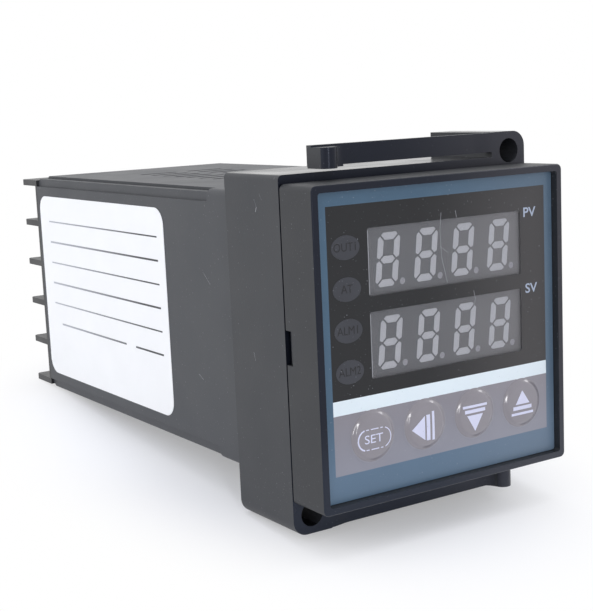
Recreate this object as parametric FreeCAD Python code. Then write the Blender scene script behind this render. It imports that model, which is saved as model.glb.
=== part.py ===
import FreeCAD, Part
import math
import os

# Panel-mount digital temperature controller with a slide-on mounting bracket.
# Millimetres. X to the right, Y towards the rear, Z up; the front looks along -Y.
# The origin is the middle of the panel plane, where the front frame's back face
# and the case's front flange meet the panel.

# Case
case_size = 44.8            # outer width and height, for a 45 mm square cut-out
case_length = 96.6          # panel plane to the rear edge of the side walls
case_wall = 1.8
case_corner_radius = 1.2
flange_lip = 0.8            # how far the front flange stands out from the case
flange_thickness = 1.4
relief_depth = 0.5          # long corner reliefs that ease the bracket on
relief_width = 2.05
relief_front = 24.6
rear_chamfer_depth = 1.2
rear_chamfer_length = 2.2
vent_columns = 2
vent_rows = 9
vent_length = 8.0
vent_width = 1.5
vent_pitch = 4.8
vent_column_spacing = 10.4
vent_front = 36.0
guide_rib_height = 1.4
guide_rib_thickness = 1.0
guide_clearance = 0.15
guide_front = 6.0
label_length = 55.0
label_height = 37.0
label_thickness = 0.1
label_radius = 3.0
label_rear_gap = 1.3

# Rear terminals
terminals_per_column = 5
fin_length = 7.7
fin_thickness = 1.2
fin_edge_gap = 0.8          # outermost barrier to the case's top or bottom
fin_reach = 11.15           # barrier length from the case's side inwards
fin_chamfer = 0.5
plug_depth = 8.0            # spigot of the terminal block inside the case
plug_clearance = 0.1
plug_wall = 1.2
rear_wall = 3.0
rear_flange = 0.7           # plate that covers the case's rear edge
centre_block_depth = 5.6
centre_block_wall = 1.5
terminal_inset = 5.75       # screw axis to the case's side
contact_plate = 0.5
contact_plate_margin = 0.5
contact_boss_radius = 2.4
contact_boss_clearance = 0.1
contact_gap = 0.05          # spring blade to the board
blade_thickness = 0.6
blade_width = 3.0
blade_overlap = 3.0
clamp_thickness = 0.7
clamp_margin = 0.35
screw_radius = 1.45
screw_clearance = 0.08
screw_head_radius = 2.7
screw_head_height = 1.6
screw_length = 6.0
cross_length = 3.0
cross_width = 0.8
cross_depth = 0.9

# Front frame and its film
bezel_lip = 1.6             # how far the frame stands out from the case
bezel_depth = 8.2
bezel_rim = 1.1
bezel_corner_radius = 0.9
bezel_edge_radius = 0.25
bezel_skin = 1.6            # side wall of the frame behind its plate
overlay_recess = 1.2
overlay_thickness = 0.3
overlay_clearance = 0.1
pocket_corner_radius = 0.4
plate_thickness = 1.8
flange_clearance = 0.1
notch_height = 5.2
notch_depth = 1.5
tongue_thickness = 1.3
tongue_width = 12.0
tongue_length = 10.0        # reach past the panel plane into the case
tongue_clearance = 0.2
post_radius = 1.3
peg_radius = 0.9
peg_clearance = 0.1
peg_rise = 0.5
post_side_gap = 0.3         # post to the display's side
post_end_gap = 0.15         # post to the key switches

# Displays, in the plane of the front
display_left_gap = 8.95     # frame's film pocket to the displays, on each side
display_right_gap = 6.65
display_top_gap = 5.0
display_bottom_gap = 16.9   # leaves the strip of keys below the displays
display_depth = 7.0
display_gap = 0.85
display_setback = 0.2
display_clearance = 0.15
window_side_margin = 0.2    # display's side to the window's side
window_end_margin = 0.75    # display's top to the window's top
window_radius = 0.3
digit_count = 4
digit_side_margin = 0.7     # display's sides to the first and last digit's place
digit_end_margin = 1.75     # display's top to the digits
digit_width = 4.15
digit_chamfer = 0.9         # outer corners of a digit
digit_waist = 0.3           # outer corners at its middle
digit_slant = 6.6
digit_shift = -0.1          # digits sit left of the middle, to leave room for the dots
segment_thickness = 1.12
segment_gap = 0.24
segment_depth = 0.6
dot_radius = 0.52
dot_offset = 3.0

# Indicators and keys, in the plane of the front
indicator_inset = 5.2       # frame's film pocket to the indicators' axis
indicator_top_gap = 3.15    # first and last indicator to the displays' ends
indicator_bottom_gap = 2.49
indicator_count = 4
led_radius = 0.9
led_clearance = 0.25
led_setback = 0.3
key_names = ["set", "shift", "down", "up"]
key_left_gap = 4.95         # frame's film pocket to the first and last key
key_right_gap = 3.4
key_bottom_gap = 5.3
key_radius = 3.9
key_clearance = 0.15
key_rise = 0.55             # dome height over the film
key_disc = 0.4
key_travel = 0.3
key_spare_travel = 0.1
stem_radius = 1.9
stem_clearance = 0.3
stem_reach = 0.3            # stem end behind the plate
switch_size = 6.2
switch_height = 3.5
plunger_radius = 1.6
plunger_clearance = 0.2
plunger_seat = 0.5
switch_bore_depth = 1.2

# Circuit boards and what they carry
board_thickness = 1.6
board_edge_gap = 0.25
board_x = 13.0              # middle of each long board, left and right
board_front_gap = 0.2
board_end_gap = 4.6         # long boards to the terminal block's spigot
header_size = 2.5
header_length = 30.0
relay_length, relay_width, relay_height = 19.0, 15.4, 15.2
relay_y, relay_z = 52.0, 4.5
alarm_relay_length, alarm_relay_width, alarm_relay_height = 15.0, 7.4, 10.2
alarm_relay_y, alarm_relay_z = 54.0, -12.0
core_length, core_width, core_height = 16.4, 5.0, 14.0
core_y, core_z = 24.0, 4.0
bobbin_length, bobbin_width, bobbin_height = 9.2, 13.6, 9.6
filter_cap_radius, filter_cap_length = 5.0, 16.0
filter_cap_y, filter_cap_z = 46.2, 9.5
output_cap_radius, output_cap_length = 4.0, 11.5
output_cap_y, output_cap_z, output_cap_pitch = 15.0, -11.0, 9.0
output_cap_count = 2
can_edge_radius = 0.5
varistor_radius, varistor_thickness = 4.5, 4.0
varistor_y, varistor_z = 64.0, 10.0
fuse_radius, fuse_length = 2.2, 9.0
fuse_y, fuse_z = 60.0, -4.0
rectifier_length, rectifier_width, rectifier_height = 6.6, 6.4, 3.4
rectifier_y, rectifier_z = 47.0, -9.0
regulator_length, regulator_width, regulator_height = 9.6, 6.4, 3.6
regulator_y, regulator_z = 35.0, -10.0
processor_size, processor_height = 10.0, 1.6
processor_y, processor_z = 18.0, 4.0
crystal_length, crystal_width, crystal_height = 10.8, 4.6, 3.6
crystal_y, crystal_z = 18.0, -6.0
amplifier_length, amplifier_width, amplifier_height = 8.6, 4.0, 1.7
amplifier_y, amplifier_z = 33.0, -9.0
coupler_length, coupler_width, coupler_height = 4.6, 5.4, 3.5
coupler_y, coupler_z, coupler_pitch = 37.0, 12.0, 6.2
coupler_count = 2

# Mounting bracket
bracket_gap = 0.3           # bracket to the panel plane when pushed right up
bracket_depth = 15.5
bracket_clearance = 0.2     # bracket to the case
bracket_side_wall = 1.4
bracket_top_wall = 2.7
bracket_corner_radius = 0.8
boss_width = 7.0
boss_rise = 4.0
boss_corner_radius = 2.4
clamp_hole_radius = 1.95
clamp_hole_inset = 3.4      # hole axis to the bracket's side
clamp_hole_drop = 3.1       # hole axis below the boss's top
arm_thickness = 1.2
arm_height = 3.1
arm_setback = 0.5           # arm's front face behind the bracket's front
arm_drop = 0.1              # arm's top below the boss's top
arm_reach = 34.5            # hinge line to the nose's end
hinge_inset = 0.2           # hinge line to the boss's inner face
hinge_clearance = 0.1
nose_width = 2.8
nose_advance = 3.1          # nose ahead of the bracket's front face
nose_depth_below = 0.3      # nose reaches below the arm
nose_top_drop = 0.3         # nose's top below the arm's top
nose_root_radius = 3.0

# Worked out from the sizes above
case_half = case_size / 2
inner_half = case_half - case_wall
flange_half = case_half + flange_lip
bezel_half = case_half + bezel_lip
case_rear = case_length
plug_front = case_rear - plug_depth
plug_half = inner_half - plug_clearance
terminal_pitch = (case_size - fin_thickness - 2 * fin_edge_gap) / terminals_per_column
terminal_x = case_half - terminal_inset
terminal_seat = case_rear + rear_flange
slot_height = terminal_pitch - fin_thickness

bezel_front = -bezel_depth
pocket_half = bezel_half - bezel_rim
film_front = bezel_front + overlay_recess
film_back = film_front + overlay_thickness
plate_back = film_back + plate_thickness
display_front = film_back + display_setback
front_board_y = display_front + display_depth
front_board_back = front_board_y + board_thickness
board_half = inner_half - board_edge_gap
long_board_front = front_board_back + board_front_gap
long_board_rear = plug_front - board_end_gap
board_inner_x = board_x - board_thickness / 2
board_outer_x = board_x + board_thickness / 2
tongue_outer_x = inner_half - tongue_clearance
tongue_inner_x = tongue_outer_x - tongue_thickness
display_width = 2 * pocket_half - display_left_gap - display_right_gap
display_height = (2 * pocket_half - display_top_gap - display_bottom_gap - display_gap) / 2
display_x = (display_left_gap - display_right_gap) / 2
display_top_z = pocket_half - display_top_gap
upper_display_z = display_top_z - display_height / 2
lower_display_z = upper_display_z - display_height - display_gap
digit_pitch = (display_width - 2 * digit_side_margin) / digit_count
digit_height = display_height - 2 * digit_end_margin
indicator_x = indicator_inset - pocket_half
indicator_top_z = display_top_z - indicator_top_gap
indicator_bottom_z = display_bottom_gap - pocket_half + indicator_bottom_gap
indicator_pitch = (indicator_top_z - indicator_bottom_z) / (indicator_count - 1)
first_key_x = key_left_gap + key_radius - pocket_half
key_pitch = (2 * (pocket_half - key_radius) - key_left_gap - key_right_gap) / (len(key_names) - 1)
key_z = key_bottom_gap + key_radius - pocket_half
window_width = display_width - 2 * window_side_margin
window_height = display_height - 2 * window_end_margin
stem_end = plate_back + stem_reach
switch_front = front_board_y - switch_height
post_x = pocket_half - display_right_gap + post_side_gap + post_radius
post_z = switch_size / 2 - key_z + post_end_gap + post_radius

bracket_front = bracket_gap
bracket_rear = bracket_front + bracket_depth
bracket_hole_half = case_half + bracket_clearance
bracket_half_x = bracket_hole_half + bracket_side_wall
bracket_half_z = bracket_hole_half + bracket_top_wall
boss_top = bracket_half_z + boss_rise
boss_inner_x = bracket_half_x - boss_width
clamp_hole_x = bracket_half_x - clamp_hole_inset
clamp_hole_z = boss_top - clamp_hole_drop
arm_top = boss_top - arm_drop
arm_bottom = arm_top - arm_height
arm_front = bracket_front + arm_setback
arm_back = arm_front + arm_thickness
hinge_x = boss_inner_x - hinge_inset
hinge_y = arm_front + arm_thickness / 2


# Small shape helpers
def point(x, y, z):
    return FreeCAD.Vector(x, y, z)


def block(x0, x1, y0, y1, z0, z1):
    return Part.makeBox(x1 - x0, y1 - y0, z1 - z0, point(x0, y0, z0))


def rod_x(y, z, radius, x0, x1):
    return Part.makeCylinder(radius, x1 - x0, point(x0, y, z), point(1, 0, 0))


def rod_y(x, z, radius, y0, y1):
    return Part.makeCylinder(radius, y1 - y0, point(x, y0, z), point(0, 1, 0))


def rod_z(x, y, radius, z0, z1):
    return Part.makeCylinder(radius, z1 - z0, point(x, y, z0), point(0, 0, 1))


def prism(corners, direction):
    """A straight-sided solid from a closed run of corners, pushed along a direction."""
    wire = Part.makePolygon(corners + [corners[0]])
    return Part.Face(wire).extrude(direction)


def rounded_prism(half_x, half_z, radius, y0, y1, x=0.0, z=0.0):
    """A bar along Y with a rounded rectangular section."""
    bar = block(x - half_x, x + half_x, y0, y1, z - half_z, z + half_z)
    long_edges = []
    for edge in bar.Edges:
        start, end = edge.Vertexes[0].Point, edge.Vertexes[-1].Point
        if abs(start.y - end.y) > (y1 - y0) / 2:
            long_edges.append(edge)
    return bar.makeFillet(radius, long_edges)


def half_turn(shape):
    """The same shape turned half a turn about the Y axis."""
    turned = shape.copy()
    turned.rotate(point(0, 0, 0), point(0, 1, 0), 180)
    return turned


def union(shapes):
    whole = shapes[0]
    if len(shapes) > 1:
        whole = whole.fuse(shapes[1:])
    return whole.removeSplitter()


def save(name, shape):
    solids = shape.Solids
    if not shape.isValid():
        raise RuntimeError(name + " is not a valid shape")
    print(name, len(solids), "solid(s)", round(sum(s.Volume for s in solids), 1), "mm3")
    if len(solids) == 1:
        shape = solids[0]
    else:
        shape = Part.makeCompound(solids)
    shape.exportStep("parts/" + name + ".step")


# Case, terminals and label
def outer_case():
    body = rounded_prism(case_half, case_half, case_corner_radius, -flange_thickness, case_rear)
    flange = rounded_prism(flange_half, flange_half, case_corner_radius, -flange_thickness, 0)
    cuts = []
    start = case_half - relief_width
    floor = case_half - relief_depth
    beyond = case_half + relief_depth
    for side in (-1, 1):
        for end in (-1, 1):
            wide, low = sorted((side * start, side * beyond)), sorted((end * floor, end * beyond))
            cuts.append(block(*wide, relief_front, case_rear, *low))
            thin, tall = sorted((side * floor, side * beyond)), sorted((end * start, end * beyond))
            cuts.append(block(*thin, relief_front, case_rear, *tall))
    for end in (-1, 1):
        chamfer = [point(-case_half, case_rear - rear_chamfer_length, end * case_half),
                   point(-case_half, case_rear, end * case_half),
                   point(-case_half, case_rear, end * (case_half - rear_chamfer_depth))]
        cuts.append(prism(chamfer, point(case_size, 0, 0)))
        for column in range(vent_columns):
            x = (column - (vent_columns - 1) / 2) * vent_column_spacing
            for row in range(vent_rows):
                y = vent_front + row * vent_pitch
                z0, z1 = sorted((end * inner_half, end * case_half))
                cuts.append(block(x - vent_length / 2, x + vent_length / 2,
                                  y - vent_width / 2, y + vent_width / 2, z0, z1))
    hollow = block(-inner_half, inner_half, -flange_thickness, case_rear, -inner_half, inner_half)
    shell = body.fuse(flange).cut([hollow] + cuts)
    ribs = []
    for side in (-1, 1):
        for end in (-1, 1):
            z0, z1 = sorted((end * inner_half, end * (inner_half - guide_rib_height)))
            inner = board_inner_x - guide_clearance
            outer = board_outer_x + guide_clearance
            for near, far in ((inner - guide_rib_thickness, inner), (outer, outer + guide_rib_thickness)):
                x0, x1 = sorted((side * near, side * far))
                ribs.append(block(x0, x1, guide_front, plug_front - plug_clearance, z0, z1))
    return union([shell] + ribs)


def terminal_heights():
    middle = (terminals_per_column - 1) / 2
    return [(row - middle) * terminal_pitch for row in range(terminals_per_column)]


def terminal_places():
    return [(side, side * terminal_x, z) for side in (-1, 1) for z in terminal_heights()]


def terminal_block():
    plug = rounded_prism(plug_half, plug_half, plug_clearance, plug_front, case_rear)
    inside = plug_half - plug_wall
    plug = plug.cut(block(-inside, inside, plug_front, case_rear - rear_wall, -inside, inside))
    centre_half = case_half - fin_reach
    centre = block(-centre_half, centre_half, case_rear, case_rear + centre_block_depth,
                   -plug_half, plug_half)
    pocket_x = centre_half - centre_block_wall
    pocket_z = plug_half - plug_wall
    pocket = block(-pocket_x, pocket_x, case_rear - rear_wall,
                   case_rear + centre_block_depth - centre_block_wall, -pocket_z, pocket_z)
    cover_z = (terminals_per_column * terminal_pitch + fin_thickness) / 2
    cover = rounded_prism(case_half, cover_z, case_corner_radius, case_rear, terminal_seat)
    tip = case_rear + fin_length
    fins = []
    for row in range(terminals_per_column + 1):
        z = (row - terminals_per_column / 2) * terminal_pitch - fin_thickness / 2
        for side in (-1, 1):
            outline = [point(side * centre_half, case_rear, z), point(side * case_half, case_rear, z),
                       point(side * case_half, tip - fin_chamfer, z),
                       point(side * (case_half - fin_chamfer), tip, z), point(side * centre_half, tip, z)]
            fins.append(prism(outline, point(0, 0, fin_thickness)))
    holes = [rod_y(x, z, contact_boss_radius + contact_boss_clearance, plug_front, terminal_seat)
             for side, x, z in terminal_places()]
    return union([plug, cover, centre] + fins).cut([pocket] + holes).removeSplitter()


def terminal_contacts():
    contacts = []
    plate_half = slot_height / 2 - contact_plate_margin
    inner_end = case_rear - rear_wall
    foot_front = inner_end - contact_plate
    blade_x = board_outer_x + contact_gap
    for side, x, z in terminal_places():
        plate = block(x - plate_half, x + plate_half, terminal_seat, terminal_seat + contact_plate,
                      z - plate_half, z + plate_half)
        boss = rod_y(x, z, contact_boss_radius, foot_front, terminal_seat)
        x0, x1 = sorted((side * blade_x, x))
        foot = block(x0, x1, foot_front, inner_end, z - blade_width / 2, z + blade_width / 2)
        x0, x1 = sorted((side * blade_x, side * (blade_x + blade_thickness)))
        blade = block(x0, x1, long_board_rear - blade_overlap, inner_end,
                      z - blade_width / 2, z + blade_width / 2)
        thread = rod_y(x, z, screw_radius + screw_clearance, foot_front, terminal_seat + contact_plate)
        contacts.append(union([plate, boss, foot, blade]).cut(thread))
    return Part.makeCompound(contacts)


def terminal_clamps():
    clamps = []
    half = slot_height / 2 - clamp_margin
    seat = terminal_seat + contact_plate
    for side, x, z in terminal_places():
        clamp = block(x - half, x + half, seat, seat + clamp_thickness, z - half, z + half)
        hole = rod_y(x, z, screw_radius + 2 * screw_clearance, seat, seat + clamp_thickness)
        clamps.append(clamp.cut(hole))
    return Part.makeCompound(clamps)


def terminal_screws():
    screws = []
    seat = terminal_seat + contact_plate + clamp_thickness
    top = seat + screw_head_height
    for side, x, z in terminal_places():
        head = rod_y(x, z, screw_head_radius, seat, top)
        outer_rim = [edge for edge in head.Edges if edge.Closed and edge.BoundBox.YMin > seat]
        head = head.makeFillet(screw_head_height / 3, outer_rim)
        shank = rod_y(x, z, screw_radius, seat - screw_length, seat)
        slot_a = block(x - cross_length / 2, x + cross_length / 2, top - cross_depth, top,
                       z - cross_width / 2, z + cross_width / 2)
        slot_b = block(x - cross_width / 2, x + cross_width / 2, top - cross_depth, top,
                       z - cross_length / 2, z + cross_length / 2)
        screws.append(head.fuse(shank).cut([slot_a, slot_b]).removeSplitter())
    return Part.makeCompound(screws)


def rating_label():
    rear = case_rear - label_rear_gap
    sticker = block(-case_half - label_thickness, -case_half, rear - label_length, rear,
                    -label_height / 2, label_height / 2)
    corners = [edge for edge in sticker.Edges if edge.Length < 2 * label_thickness]
    return sticker.makeFillet(label_radius, corners)


# Front frame, film and windows
def display_places():
    return {"upper": upper_display_z, "lower": lower_display_z}


def indicator_heights():
    return [indicator_top_z - row * indicator_pitch for row in range(indicator_count)]


def key_places():
    return {name: first_key_x + i * key_pitch for i, name in enumerate(key_names)}


def bezel():
    body = rounded_prism(bezel_half, bezel_half, bezel_corner_radius, bezel_front, 0)
    front_edges = [edge for edge in body.Edges if abs(edge.BoundBox.YMax - bezel_front) < 1e-6]
    body = body.makeFillet(bezel_edge_radius, front_edges)
    cavity = bezel_half - bezel_skin
    cuts = [rounded_prism(pocket_half, pocket_half, pocket_corner_radius, bezel_front, film_back),
            block(-cavity, cavity, plate_back, -flange_thickness, -cavity, cavity)]
    seat = flange_half + flange_clearance
    cuts.append(block(-seat, seat, -flange_thickness - flange_clearance, 0, -seat, seat))
    half_w, half_h = display_width / 2 + display_clearance, display_height / 2 + display_clearance
    for z in display_places().values():
        cuts.append(block(display_x - half_w, display_x + half_w, film_back, plate_back,
                          z - half_h, z + half_h))
    for z in indicator_heights():
        cuts.append(rod_y(indicator_x, z, led_radius + led_clearance, film_back, plate_back))
    disc_floor = film_front + key_disc + key_travel + key_spare_travel
    for x in key_places().values():
        cuts.append(rod_y(x, key_z, key_radius + 2 * key_clearance, film_back, disc_floor))
        cuts.append(rod_y(x, key_z, stem_radius + stem_clearance, film_back, plate_back))
    for side in (-1, 1):
        x0, x1 = sorted((side * (bezel_half - bezel_skin), side * bezel_half))
        cuts.append(block(x0, x1, -notch_depth, 0, -notch_height / 2, notch_height / 2))
    frame = body.cut(cuts)
    carried = []
    for side in (-1, 1):
        x0, x1 = sorted((side * tongue_inner_x, side * tongue_outer_x))
        carried.append(block(x0, x1, plate_back, tongue_length, -tongue_width / 2, tongue_width / 2))
        for end in (-1, 1):
            carried.append(rod_y(side * post_x, end * post_z, post_radius, plate_back, front_board_y))
            carried.append(rod_y(side * post_x, end * post_z, peg_radius, plate_back,
                                 front_board_back + peg_rise))
    return union([frame] + carried)


def display_window(z, y0, y1):
    return rounded_prism(window_width / 2, window_height / 2, window_radius, y0, y1, display_x, z)


def front_overlay():
    half = pocket_half - overlay_clearance
    film = rounded_prism(half, half, pocket_corner_radius, film_front, film_back)
    cuts = [display_window(z, film_front, film_back) for z in display_places().values()]
    hole = key_radius + key_clearance
    cuts += [rod_y(x, key_z, hole, film_front, film_back) for x in key_places().values()]
    return film.cut(cuts)


# Digit displays
def segment_outlines():
    """Corners of the seven segments of one upright digit, about its middle."""
    w, h, t, c = digit_width / 2, digit_height / 2, segment_thickness, digit_chamfer
    g = segment_gap / 2
    e = g * math.sqrt(0.5)
    # Neighbours meet on mitres at 45 degrees, and each gives up half of the gap.
    top = [(-w + c / 2 + e, h - c / 2 + e), (-w + c, h), (w - c, h), (w - c / 2 - e, h - c / 2 + e),
           (w - t - 2 * e, h - t), (-w + t + 2 * e, h - t)]
    middle = [(-w + t / 2 + 2 * e, 0), (-w + t + 2 * e, t / 2), (w - t - 2 * e, t / 2),
              (w - t / 2 - 2 * e, 0), (w - t - 2 * e, -t / 2), (-w + t + 2 * e, -t / 2)]
    upper_left = [(-w + c / 2 - e, h - c / 2 - e), (-w + t, h - t - 2 * e), (-w + t, t / 2 + 2 * e),
                  (-w + t / 2 - 2 * e + g, g), (-w, g + digit_waist), (-w, h - c)]
    outlines = [top, middle, upper_left]
    outlines.append([(u, -v) for u, v in top])
    outlines.append([(-u, v) for u, v in upper_left])
    outlines.append([(u, -v) for u, v in upper_left])
    outlines.append([(-u, -v) for u, v in upper_left])
    return outlines


def digit_segments(z):
    """All segments and dots of one display, each a separate filled pocket."""
    lean = math.tan(math.radians(digit_slant))
    push = point(0, segment_depth, 0)
    pieces = []
    for place in range(digit_count):
        x = display_x + digit_shift + (place - (digit_count - 1) / 2) * digit_pitch
        for outline in segment_outlines():
            corners = [point(x + u + v * lean, display_front, z + v) for u, v in outline]
            pieces.append(prism(corners, push))
        base = -digit_height / 2 + dot_radius
        pieces.append(rod_y(x + base * lean + dot_offset, z + base, dot_radius,
                            display_front, display_front + segment_depth))
    return pieces


def display_module(z):
    body = block(display_x - display_width / 2, display_x + display_width / 2, display_front, front_board_y,
                 z - display_height / 2, z + display_height / 2)
    return body.cut(digit_segments(z))


def indicator_leds():
    tip = film_back + led_setback
    leds = []
    for z in indicator_heights():
        stem = rod_y(indicator_x, z, led_radius, tip + led_radius, front_board_y)
        dome = Part.makeSphere(led_radius, point(indicator_x, tip + led_radius, z))
        leds.append(union([stem, dome]))
    return Part.makeCompound(leds)


# Keys and their switches
def key_cap(x):
    """Embossed dome, disc and stem, turned about the key's own axis."""
    sag = key_rise
    crown = film_front - key_rise
    arc_radius = (key_radius ** 2 + sag ** 2) / (2 * sag)
    half_angle = math.asin(key_radius / arc_radius) / 2
    middle = point(x + arc_radius * math.sin(half_angle),
                   crown + arc_radius * (1 - math.cos(half_angle)), key_z)
    disc_back = film_front + key_disc
    rim = point(x + key_radius, film_front, key_z)
    dome = Part.Arc(point(x, crown, key_z), middle, rim).toShape()
    corners = [rim, point(x + key_radius, disc_back, key_z), point(x + stem_radius, disc_back, key_z),
               point(x + stem_radius, stem_end, key_z), point(x, stem_end, key_z), point(x, crown, key_z)]
    sides = [Part.makeLine(a, b) for a, b in zip(corners, corners[1:])]
    section = Part.Face(Part.Wire([dome] + sides))
    return section.revolve(point(x, 0, key_z), point(0, 1, 0), 360)


def key_plunger(x):
    return rod_y(x, key_z, plunger_radius, stem_end, switch_front + plunger_seat)


def key_switches():
    switches = []
    half = switch_size / 2
    for x in key_places().values():
        body = block(x - half, x + half, switch_front, front_board_y, key_z - half, key_z + half)
        bore = rod_y(x, key_z, plunger_radius + plunger_clearance,
                     switch_front, switch_front + switch_bore_depth)
        switches.append(body.cut(bore))
    return Part.makeCompound(switches)


# Circuit boards
def display_board():
    board = block(-board_half, board_half, front_board_y, front_board_back, -board_half, board_half)
    cuts = []
    for side in (-1, 1):
        x0, x1 = sorted((side * (tongue_inner_x - tongue_clearance), side * board_half))
        reach = tongue_width / 2 + tongue_clearance
        cuts.append(block(x0, x1, front_board_y, front_board_back, -reach, reach))
        for end in (-1, 1):
            cuts.append(rod_y(side * post_x, end * post_z, peg_radius + peg_clearance,
                              front_board_y, front_board_back))
    return board.cut(cuts)


def long_board(side):
    x0, x1 = sorted((side * board_inner_x, side * board_outer_x))
    return block(x0, x1, long_board_front, long_board_rear, -board_half, board_half)


def board_headers():
    headers = []
    for side in (-1, 1):
        x0, x1 = sorted((side * board_inner_x, side * (board_inner_x - header_size)))
        headers.append(block(x0, x1, front_board_back, front_board_back + header_size,
                             -header_length / 2, header_length / 2))
    return Part.makeCompound(headers)


def on_board(side, y, z, length, width, height):
    """A box-shaped component standing on the inner face of a long board."""
    x0, x1 = sorted((side * board_inner_x, side * (board_inner_x - height)))
    return block(x0, x1, y, y + length, z - width / 2, z + width / 2)


def can_on_board(side, y, z, radius, length):
    """A round can standing on the inner face of a long board."""
    x0, x1 = sorted((side * board_inner_x, side * (board_inner_x - length)))
    can = rod_x(y, z, radius, x0, x1)
    return can.makeFillet(can_edge_radius, [edge for edge in can.Edges if edge.Closed])


power_side, logic_side = -1, 1


def bobbin_space(width):
    """The room inside the core's ring, as wide as asked along Z."""
    middle = core_y + core_length / 2
    rest = (core_height - bobbin_height) / 2
    x0, x1 = sorted((power_side * (board_inner_x - rest), power_side * (board_inner_x - core_height + rest)))
    return block(x0, x1, middle - bobbin_length / 2, middle + bobbin_length / 2,
                 core_z - width / 2, core_z + width / 2)


def transformer_core():
    core = on_board(power_side, core_y, core_z, core_length, core_width, core_height)
    return core.cut(bobbin_space(core_width))


def transformer_winding():
    return bobbin_space(bobbin_width)


def output_capacitors():
    cans = [can_on_board(power_side, output_cap_y + i * output_cap_pitch, output_cap_z,
                         output_cap_radius, output_cap_length) for i in range(output_cap_count)]
    return Part.makeCompound(cans)


def varistor():
    x = power_side * (board_inner_x - varistor_radius)
    disc = rod_y(x, varistor_z, varistor_radius, varistor_y, varistor_y + varistor_thickness)
    return disc.makeFillet(can_edge_radius, [edge for edge in disc.Edges if edge.Closed])


def fuse_resistor():
    x = power_side * (board_inner_x - fuse_radius)
    body = rod_y(x, fuse_z, fuse_radius, fuse_y, fuse_y + fuse_length)
    return body.makeFillet(can_edge_radius, [edge for edge in body.Edges if edge.Closed])


def couplers():
    rows = [on_board(logic_side, coupler_y, coupler_z - i * coupler_pitch, coupler_length, coupler_width,
                     coupler_height) for i in range(coupler_count)]
    return Part.makeCompound(rows)


# Mounting bracket and its two spring arms
def clamp_boss():
    """Upper right boss, with its outer corner rounded."""
    inset = boss_corner_radius * (1 - math.sqrt(0.5))
    foot = point(boss_inner_x, bracket_front, bracket_hole_half)
    outer_foot = point(bracket_half_x, bracket_front, bracket_hole_half)
    arc_start = point(bracket_half_x, bracket_front, boss_top - boss_corner_radius)
    arc_middle = point(bracket_half_x - inset, bracket_front, boss_top - inset)
    arc_end = point(bracket_half_x - boss_corner_radius, bracket_front, boss_top)
    inner_top = point(boss_inner_x, bracket_front, boss_top)
    edges = [Part.makeLine(foot, outer_foot), Part.makeLine(outer_foot, arc_start),
             Part.Arc(arc_start, arc_middle, arc_end).toShape(), Part.makeLine(arc_end, inner_top),
             Part.makeLine(inner_top, foot)]
    return Part.Face(Part.Wire(edges)).extrude(point(0, bracket_depth, 0))


def bracket_frame():
    ring = rounded_prism(bracket_half_x, bracket_half_z, bracket_corner_radius, bracket_front, bracket_rear)
    socket = rod_z(hinge_x, hinge_y, arm_thickness / 2 + hinge_clearance,
                   arm_bottom - hinge_clearance, boss_top)
    hole = rod_y(clamp_hole_x, clamp_hole_z, clamp_hole_radius, bracket_front, bracket_rear)
    boss = clamp_boss()
    passage = block(-bracket_hole_half, bracket_hole_half, bracket_front, bracket_rear,
                    -bracket_hole_half, bracket_hole_half)
    solid = union([ring, boss, half_turn(boss)])
    return solid.cut([passage, socket, half_turn(socket), hole, half_turn(hole)])


def spring_leaf():
    """Straight leaf of the upper arm, with a round root."""
    def at(x, y):
        return point(x, y, arm_bottom)

    end_x = hinge_x - arm_reach
    rear, front = at(end_x, arm_back), at(end_x, arm_front)
    root_front, root_back = at(hinge_x, arm_front), at(hinge_x, arm_back)
    root = Part.Arc(root_front, at(hinge_x + arm_thickness / 2, hinge_y), root_back).toShape()
    edges = [Part.makeLine(root_back, rear), Part.makeLine(rear, front),
             Part.makeLine(front, root_front), root]
    return Part.Face(Part.Wire(edges)).extrude(point(0, 0, arm_height))


def spring_nose():
    """Round nose at the end of the upper arm, with a fillet that runs out on the leaf's front."""
    bottom, top = arm_bottom - nose_depth_below, arm_top - nose_top_drop

    def at(x, y):
        return point(x, y, bottom)

    end_x = hinge_x - arm_reach
    radius = nose_width / 2
    nose_x = end_x + radius
    shoulder = bracket_front - nose_advance + radius
    # The fillet touches the nose's round front and the leaf's front face.
    reach = radius + nose_root_radius
    fillet_y = arm_front - nose_root_radius
    fillet_x = nose_x + math.sqrt(reach ** 2 - (shoulder - fillet_y) ** 2)
    touch = at(nose_x + (fillet_x - nose_x) * radius / reach,
               shoulder + (fillet_y - shoulder) * radius / reach)
    half_sweep = math.acos((touch.y - fillet_y) / nose_root_radius) / 2
    bend = at(fillet_x - nose_root_radius * math.sin(half_sweep),
              fillet_y + nose_root_radius * math.cos(half_sweep))
    rear, left, crown = at(end_x, arm_back), at(end_x, shoulder), at(nose_x, shoulder - radius)
    run_out, run_out_back = at(fillet_x, arm_front), at(fillet_x, arm_back)
    edges = [Part.makeLine(rear, left), Part.Arc(left, crown, touch).toShape(),
             Part.Arc(touch, bend, run_out).toShape(), Part.makeLine(run_out, run_out_back),
             Part.makeLine(run_out_back, rear)]
    return Part.Face(Part.Wire(edges)).extrude(point(0, 0, top - bottom))


os.makedirs("parts", exist_ok=True)

save("outer_case", outer_case())
save("rear_terminal_block", terminal_block())
save("terminal_contacts", terminal_contacts())
save("terminal_clamps", terminal_clamps())
save("terminal_screws", terminal_screws())
save("rating_label", rating_label())

save("front_bezel", bezel())
save("front_overlay", front_overlay())
for row_name, row_z in display_places().items():
    save(row_name + "_display_window", display_window(row_z, film_front, film_back))
    save(row_name + "_display", display_module(row_z))
    save(row_name + "_digit_segments", Part.makeCompound(digit_segments(row_z)))
save("indicator_leds", indicator_leds())

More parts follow.
